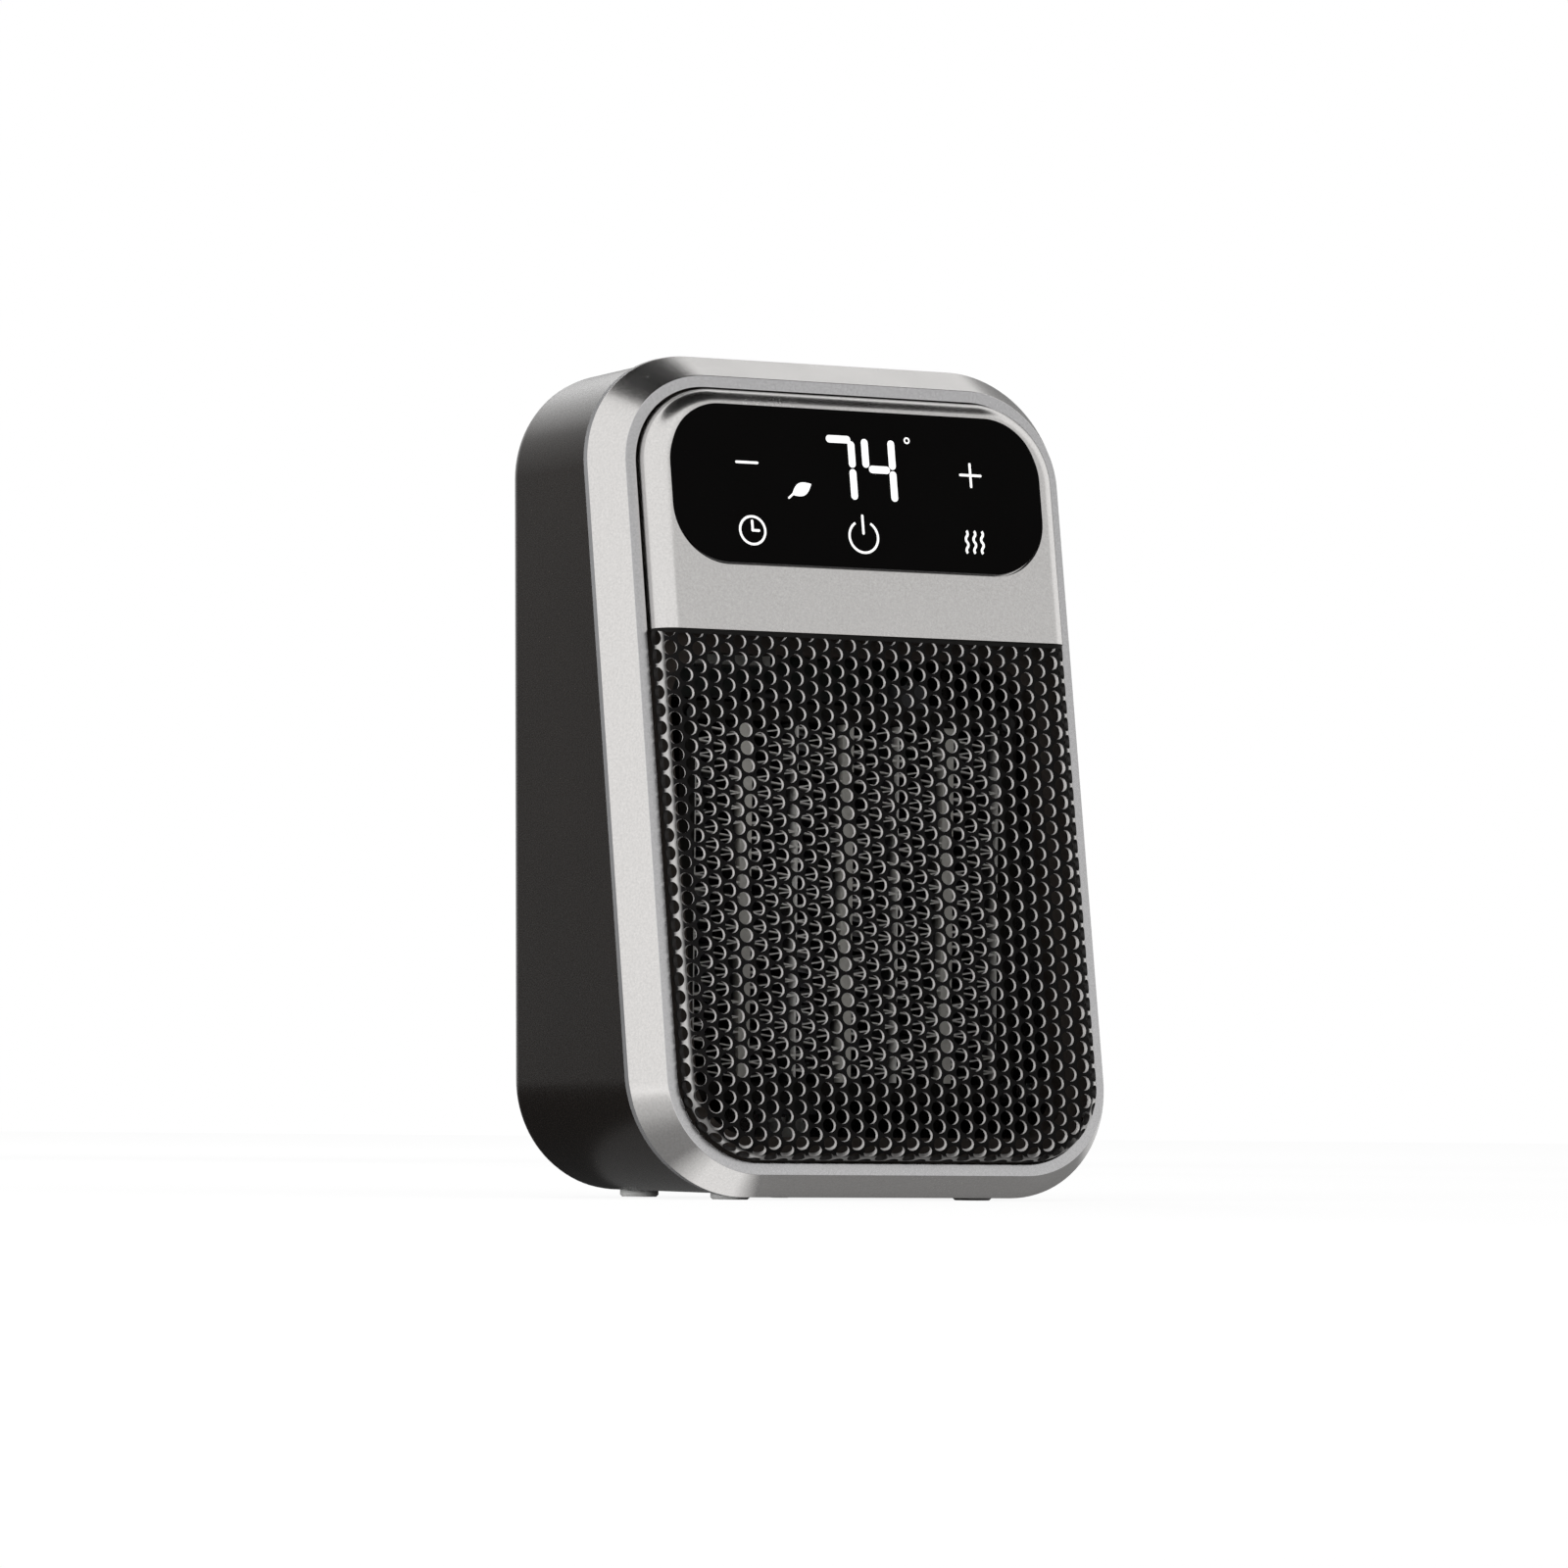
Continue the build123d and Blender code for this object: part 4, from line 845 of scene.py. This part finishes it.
def housing_loops(mesh, wall_in):
    """The housing's loops from its front edge to its back, drawn in by a wall."""
    round_radius = HOUSING_ROUND - wall_in
    loops = [outline(mesh, HOUSING_INSET + wall_in, leaning(BEZEL_BACK))]
    side_inset = HOUSING_INSET + HOUSING_TAPER + wall_in
    for step in range(ROUND_STEPS + 1):
        turn = pi / 2 * step / ROUND_STEPS
        inset = side_inset + round_radius * (1 - cos(turn))
        depth = wall_in + round_radius * (1 - sin(turn))
        width = BODY_WIDTH - 2 * inset
        height = (BODY_HEIGHT - 2 * inset + HOUSING_TAPER) / cos(REAR_LEAN)
        centre = (0, -HOUSING_TAPER / 2 / cos(REAR_LEAN))
        loops.append(ring(mesh, width, height, OUTLINE_RADIUS - inset, backward(depth), centre))
    return loops


# Marks behind the lens: seven-segment digits and plain symbols, a hair above its face
MARK_LIFT = 0.07
MARK_DEPTH = 0.05
MARK_STROKE = 0.75
DIGIT_STROKE = 2.2
STROKE_STEPS = 6


def bar(mesh, start, end, thick):
    """Flat stroke with round ends."""
    across = Vector((end[0] - start[0], end[1] - start[1]))
    turn = Matrix.Rotation(atan2(across.y, across.x), 4, "Z")
    middle = Vector(((start[0] + end[0]) / 2, (start[1] + end[1]) / 2, 0))
    place = Matrix.Translation(middle) @ turn
    radius = thick * 0.499
    edges = ring(mesh, across.length + thick, thick, radius, place, steps=STROKE_STEPS)
    bmesh.ops.holes_fill(mesh, edges=edges)


def arc(mesh, centre, radius, thick, start, sweep, steps=12):
    """Flat curved stroke."""
    ends = []
    for reach in (radius - thick / 2, radius + thick / 2):
        place = (centre[0] + reach * cos(start), centre[1] + reach * sin(start), 0)
        ends.append(mesh.verts.new(place))
    edge = mesh.edges.new(ends)
    bmesh.ops.spin(
        mesh,
        geom=[*ends, edge],
        cent=(*centre, 0),
        axis=(0, 0, 1),
        angle=sweep,
        steps=steps,
        use_merge=sweep >= 2 * pi,
        use_duplicate=False,
    )


def hoop(mesh, centre, radius, thick, gap=0.0):
    """Flat ring, open by an angle at the top."""
    arc(mesh, centre, radius, thick, pi / 2 + gap / 2, 2 * pi - gap, 48)


def symbol(name, draw):
    """Makes a lit mark of the flat shape that a function draws."""
    mesh = bmesh.new()
    draw(mesh)
    bmesh.ops.recalc_face_normals(mesh, faces=mesh.faces)
    if sum(face.normal.z for face in mesh.faces) < 0:
        bmesh.ops.reverse_faces(mesh, faces=mesh.faces)
    drawn = bmesh.ops.extrude_face_region(mesh, geom=mesh.faces[:])["geom"]
    points = [item for item in drawn if isinstance(item, bmesh.types.BMVert)]
    bmesh.ops.translate(mesh, vec=(0, 0, MARK_DEPTH), verts=points)
    place = leaning(MARK_DEPTH - INSERT_PROUD - MARK_LIFT)
    bmesh.ops.transform(mesh, matrix=place, verts=mesh.verts)
    piece(name, mesh, [mark_white])


def rise(along_slope):
    """Height on the front's own Y axis of a place measured up the slope from its foot."""
    return along_slope - SLOPE_HEIGHT / 2


def draw_digits(mesh):
    """Two digits of a seven-segment display."""
    seven = -1.4
    left, right = 3.0, 11.6
    top, middle, low = rise(217.2), rise(208.9), rise(200.9)
    strokes = [
        ((seven - 6.9, top), (seven - 1.2, top)),
        ((seven, top - 1.5), (seven, middle + 1.3)),
        ((seven, middle - 1.3), (seven, low)),
        ((left, top - 0.6), (left, middle + 1.5)),
        ((left + 2.0, middle), (right - 2.0, middle)),
        ((right, top - 0.6), (right, middle + 1.3)),
        ((right, middle - 1.3), (right, low)),
    ]
    for start, end in strokes:
        bar(mesh, start, end, DIGIT_STROKE)


def draw_degree(mesh):
    hoop(mesh, (16.9, rise(217.9)), 0.75, 0.45)


def draw_minus(mesh):
    bar(mesh, (-38.7, rise(209.0)), (-32.1, rise(209.0)), MARK_STROKE)


def draw_plus(mesh):
    bar(mesh, (33.7, rise(208.7)), (40.3, rise(208.7)), MARK_STROKE)
    bar(mesh, (37.0, rise(205.4)), (37.0, rise(212.0)), MARK_STROKE)


def draw_clock(mesh):
    centre = (-35.05, rise(189.4))
    hoop(mesh, centre, 4.0, 0.7)
    bar(mesh, centre, (centre[0], centre[1] + 2.7), MARK_STROKE)
    bar(mesh, centre, (centre[0] + 2.0, centre[1]), MARK_STROKE)


def draw_power(mesh):
    centre = (0.6, rise(189.1))
    hoop(mesh, centre, 4.6, 0.7, radians(64))
    bar(mesh, (centre[0], centre[1] + 1.0), (centre[0], centre[1] + 6.1), MARK_STROKE)


def draw_leaf(mesh):
    """Plain leaf with its stalk, in the low-power key's place."""
    half_length, half_width = 3.6, 1.9
    centre = Vector((-18.4, rise(202.0), 0))
    turn = Matrix.Translation(centre) @ Matrix.Rotation(radians(28), 4, "Z")
    points = bmesh.ops.create_circle(mesh, cap_ends=True, segments=32, radius=1.0)["verts"]
    for point in points:
        taper = 1 - abs(point.co.x) ** 2.2 * 0.75
        point.co = Vector((half_length * point.co.x, half_width * point.co.y * taper, 0))
    bmesh.ops.transform(mesh, matrix=turn, verts=points)
    bar(mesh, turn @ Vector((-5.0, -0.35, 0)), turn @ Vector((-3.4, 0, 0)), 0.6)


def draw_heat(mesh):
    """Three rising waves, in the mode key's place."""
    bend = 1.15
    swing = bend * cos(pi / 4)
    for shift in (-2.5, 0.0, 2.5):
        for turn in range(4):
            side = 1 if turn % 2 else -1
            middle = rise(189.1) + (turn - 1.5) * 2 * swing
            start = -pi / 4 if side > 0 else pi * 3 / 4
            centre = (36.8 + shift - side * swing, middle)
            arc(mesh, centre, bend, MARK_STROKE, start, pi / 2, 8)


fan_axis = sum(corner.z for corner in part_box("motor_shaft")) / 2 / MILLIMETRE
make_bezel()
make_panel()
make_lens()
make_grille()
make_lip()
make_housing()
marks = {
    "mark_digits": draw_digits,
    "mark_degree": draw_degree,
    "mark_minus": draw_minus,
    "mark_plus": draw_plus,
    "mark_clock": draw_clock,
    "mark_power": draw_power,
    "mark_leaf": draw_leaf,
    "mark_heat": draw_heat,
}
for mark, draw in marks.items():
    symbol(mark, draw)


# Floor, light and camera
LEVEL = Matrix.Identity(3)


def stage_sheet(name, size, place, turn, made_of, seen=False):
    """A flat sheet of the studio, such as its floor, or a card that the camera doesn't see."""
    mesh = bmesh.new()
    bmesh.ops.create_grid(mesh, x_segments=1, y_segments=1, size=0.5)
    bmesh.ops.scale(mesh, vec=(*size, 1), verts=mesh.verts)
    matrix = Matrix.Translation(place) @ turn.to_4x4()
    bmesh.ops.transform(mesh, matrix=matrix, verts=mesh.verts)
    return stage_mesh(name, mesh, made_of, seen)


def stage_mesh(name, mesh, made_of, seen=False):
    """Makes a piece of the studio of a mesh."""
    data = bpy.data.meshes.new(name)
    mesh.to_mesh(data)
    mesh.free()
    sheet = bpy.data.objects.new(name, data)
    bpy.context.collection.objects.link(sheet)
    data.materials.append(made_of)
    sheet.visible_camera = seen
    return sheet


def stage_disc(name, radius, place, made_of):
    """A flat round sheet of the studio, level."""
    mesh = bmesh.new()
    bmesh.ops.create_circle(mesh, cap_ends=True, segments=64, radius=radius)
    bmesh.ops.translate(mesh, vec=place, verts=mesh.verts)
    stage_mesh(name, mesh, made_of)


def plain_sheet(name, level):
    """Matt sheet of one grey."""
    made, f = material(name)
    tone = f.mix(f.noise(8.0), *tones((level, level, level), 0.02))
    f.finish(f.node("ShaderNodeBsdfDiffuse", None, {"Color": tone}))
    return made


def pale_card(name, level, low_level, low=0.50, high=0.68, axis="Z", fall=None):
    """Grey card for soft light, of another level before a place on an axis and past a fall."""
    made, f = material(name)
    along = f.node("ShaderNodeSeparateXYZ", None, {"Vector": f.place}, axis)
    share = f.spread(along, 0.0, 1.0, low, high)
    if fall:
        share = share * f.spread(along, 1.0, 0.0, *fall)
    tone = f.mix(share, colour(*[low_level] * 3), colour(*[level] * 3))
    f.finish(f.node("ShaderNodeEmission", None, {"Color": tone}))
    return made


def one_sided_black(name):
    """Black cloth that only shows, and only shades, on its front."""
    made, f = material(name)
    black = f.node("ShaderNodeBsdfDiffuse", None, {"Color": colour(0.004, 0.004, 0.004)})
    clear = f.node("ShaderNodeBsdfTransparent")
    back = f.node("ShaderNodeNewGeometry", output="Backfacing")
    f.finish(f.blend(back, black, clear))
    return made


def white_floor(name):
    """Floor that the camera sees as white with the object's shadow, metal as paler farther out."""
    made, f = material(name)
    plain = f.node("ShaderNodeBsdfDiffuse", None, {"Color": colour(0.30, 0.30, 0.30)})
    bounce = f.node("ShaderNodeBsdfDiffuse", None, {"Color": colour(0.80, 0.80, 0.80)})
    glow = f.node("ShaderNodeEmission", None, {"Color": colour(0.90, 0.90, 0.90)})
    # In reflections the floor darkens near the object, a painted shadow
    away = f.node("ShaderNodeVectorMath", {"operation": "LENGTH"}, {0: f.place}, "Value")
    near = f.spread(away, 0.0, 1.0, 0.10, 0.14)
    far = f.spread(away, 0.0, 1.0, 0.14, 0.45)
    tone = f.mix(near, colour(0.17, 0.17, 0.17), colour(0.48, 0.48, 0.48))
    tone = f.mix(far, tone, colour(0.73, 0.73, 0.73))
    sheen = f.node("ShaderNodeEmission", None, {"Color": tone})
    white = f.node("ShaderNodeAddShader", None, {0: plain, 1: glow})
    mirrored = f.node("ShaderNodeAddShader", None, {0: plain, 1: sheen})
    lit = f.blend(f.ray("Glossy"), bounce, mirrored)
    shown = f.blend(f.ray("Camera").either(f.ray("Transmission")), lit, white)
    below = f.node("ShaderNodeNewGeometry", output="Backfacing")
    f.finish(f.blend(below, shown, f.node("ShaderNodeBsdfTransparent")))
    return made


def make_world():
    """White to the camera and in reflections, soft light for everything else."""
    world = bpy.data.worlds.new("studio")
    bpy.context.scene.world = world
    world.use_nodes = True
    f = Finish(world.node_tree)
    soft = f.node("ShaderNodeBackground", None, {"Color": colour(1, 1, 1), "Strength": 0.25})
    white = f.node("ShaderNodeBackground", None, {"Color": colour(1, 1, 1), "Strength": 1.0})
    seen = f.ray("Camera").either(f.ray("Glossy")).either(f.ray("Transmission"))
    f.finish(f.blend(seen, soft, white), "ShaderNodeOutputWorld")


def facing(target, place):
    """Turn that points a sheet's front from its place to a target."""
    return (Vector(target) - Vector(place)).to_track_quat("Z", "Y").to_matrix()


def make_cards():
    """Floor, dark ceiling, and the cards and flags that shape the silver's reflections."""
    stage_sheet("floor", (8.0, 8.0), (0, 0, 0), LEVEL, white_floor("floor_white"), True)
    stage_disc("ceiling", 0.65, (0.15, 0.05, 1.2), plain_sheet("ceiling_black", 0.005))
    place = Vector((1.10, -1.17, 1.15))
    turn = facing(place + Vector((-0.515, 0.857, 0.0)), place)
    stage_sheet("fill_card", (1.50, 2.3), place, turn, pale_card("card_grey", 0.655, 0.78))
    cards = [
        ("side_flag", (0.80, 0.90), (-0.66, 1.20, 0.42), ("card_side", 0.72, 0.22, 0.22, 0.85)),
        ("back_card", (0.80, 0.90), (0.70, 0.78, 0.45), ("card_back", 0.24, 0.24)),
        ("high_card", (1.10, 0.50), (0.12, 1.30, 0.97), ("card_high", 2.8, 1.5, -0.35, 0.25, "X")),
    ]
    for name, size, place, card in cards:
        turn = facing((0, 0, place[2]), place)
        stage_sheet(name, size, place, turn, pale_card(*card))
    # Low cards just above the floor: two for reflections only, and one that only fills
    gleam = pale_card("gleam_card", 0.97, 0.22, -0.072, -0.058, "X", (-0.0465, -0.0385))
    dark = pale_card("card_low", 0.06, 0.06)
    low_cards = [
        ("corner_gleam", (0.034, 0.016), (-0.0555, -0.043, 0.0004), gleam),
        ("floor_flag", (0.7, 0.8), (-0.25, 0.43, 0.0003), dark),
    ]
    for name, size, place, made_of in low_cards:
        low = stage_sheet(name, size, place, LEVEL, made_of)
        low.visible_diffuse = False
        low.visible_shadow = False
    bright = pale_card("card_fill", 2.6, 2.6)
    low = stage_sheet("low_fill", (1.1, 1.4), (-0.95, -0.45, 0.0006), LEVEL, bright)
    low.visible_glossy = False
    low.visible_shadow = False
    # Black sheet inside the back wall's thickness, a dark sheet in place of the heater's inner
    # shade: it only closes the view out through the slots and the inlet
    place = Vector((0, rear_y(fan_axis) - HOUSING_WALL / 2, fan_axis)) * MILLIMETRE
    turn = Matrix.Rotation(pi / 2 - REAR_LEAN, 3, "X")
    cloth = one_sided_black("flag_black")
    flag = stage_sheet("intake_flag", (0.104, 0.143), place, turn, cloth, True)
    flag.visible_diffuse = False
    flag.visible_glossy = False
    flag.visible_shadow = False


def softbox(name, place, aim, size, watts):
    """Round soft lamp that no reflection shows."""
    lamp = bpy.data.lights.new(name, "AREA")
    lamp.shape = "DISK"
    lamp.size = size
    lamp.energy = watts
    made = bpy.data.objects.new(name, lamp)
    bpy.context.collection.objects.link(made)
    made.location = place
    made.rotation_euler = (Vector(aim) - Vector(place)).to_track_quat("-Z", "Y").to_euler()
    made.visible_glossy = False


def make_camera():
    """Camera at the photograph's place, from points fitted to it."""
    lens = bpy.data.cameras.new("camera")
    lens.sensor_width = 36.0
    lens.lens = 179.5
    lens.clip_start = 0.05
    made = bpy.data.objects.new("camera", lens)
    bpy.context.collection.objects.link(made)
    ahead = Vector((0.4770751, 0.8778888, 0.0413590)).normalized()
    right = ahead.cross(Vector((0, 0, 1))).normalized()
    up = right.cross(ahead)
    turn = Matrix((right, up, -ahead)).transposed() @ Matrix.Rotation(radians(0.573), 3, "Z")
    made.matrix_world = Matrix.Translation((-1.07171, -1.95224, 0.0258)) @ turn.to_4x4()
    bpy.context.scene.camera = made


make_world()
make_cards()
softbox("key", (-1.75, -0.75, 0.30), (0, 0, 0.12), 0.5, 12.0)
make_camera()
bpy.context.scene.view_settings.view_transform = "Standard"
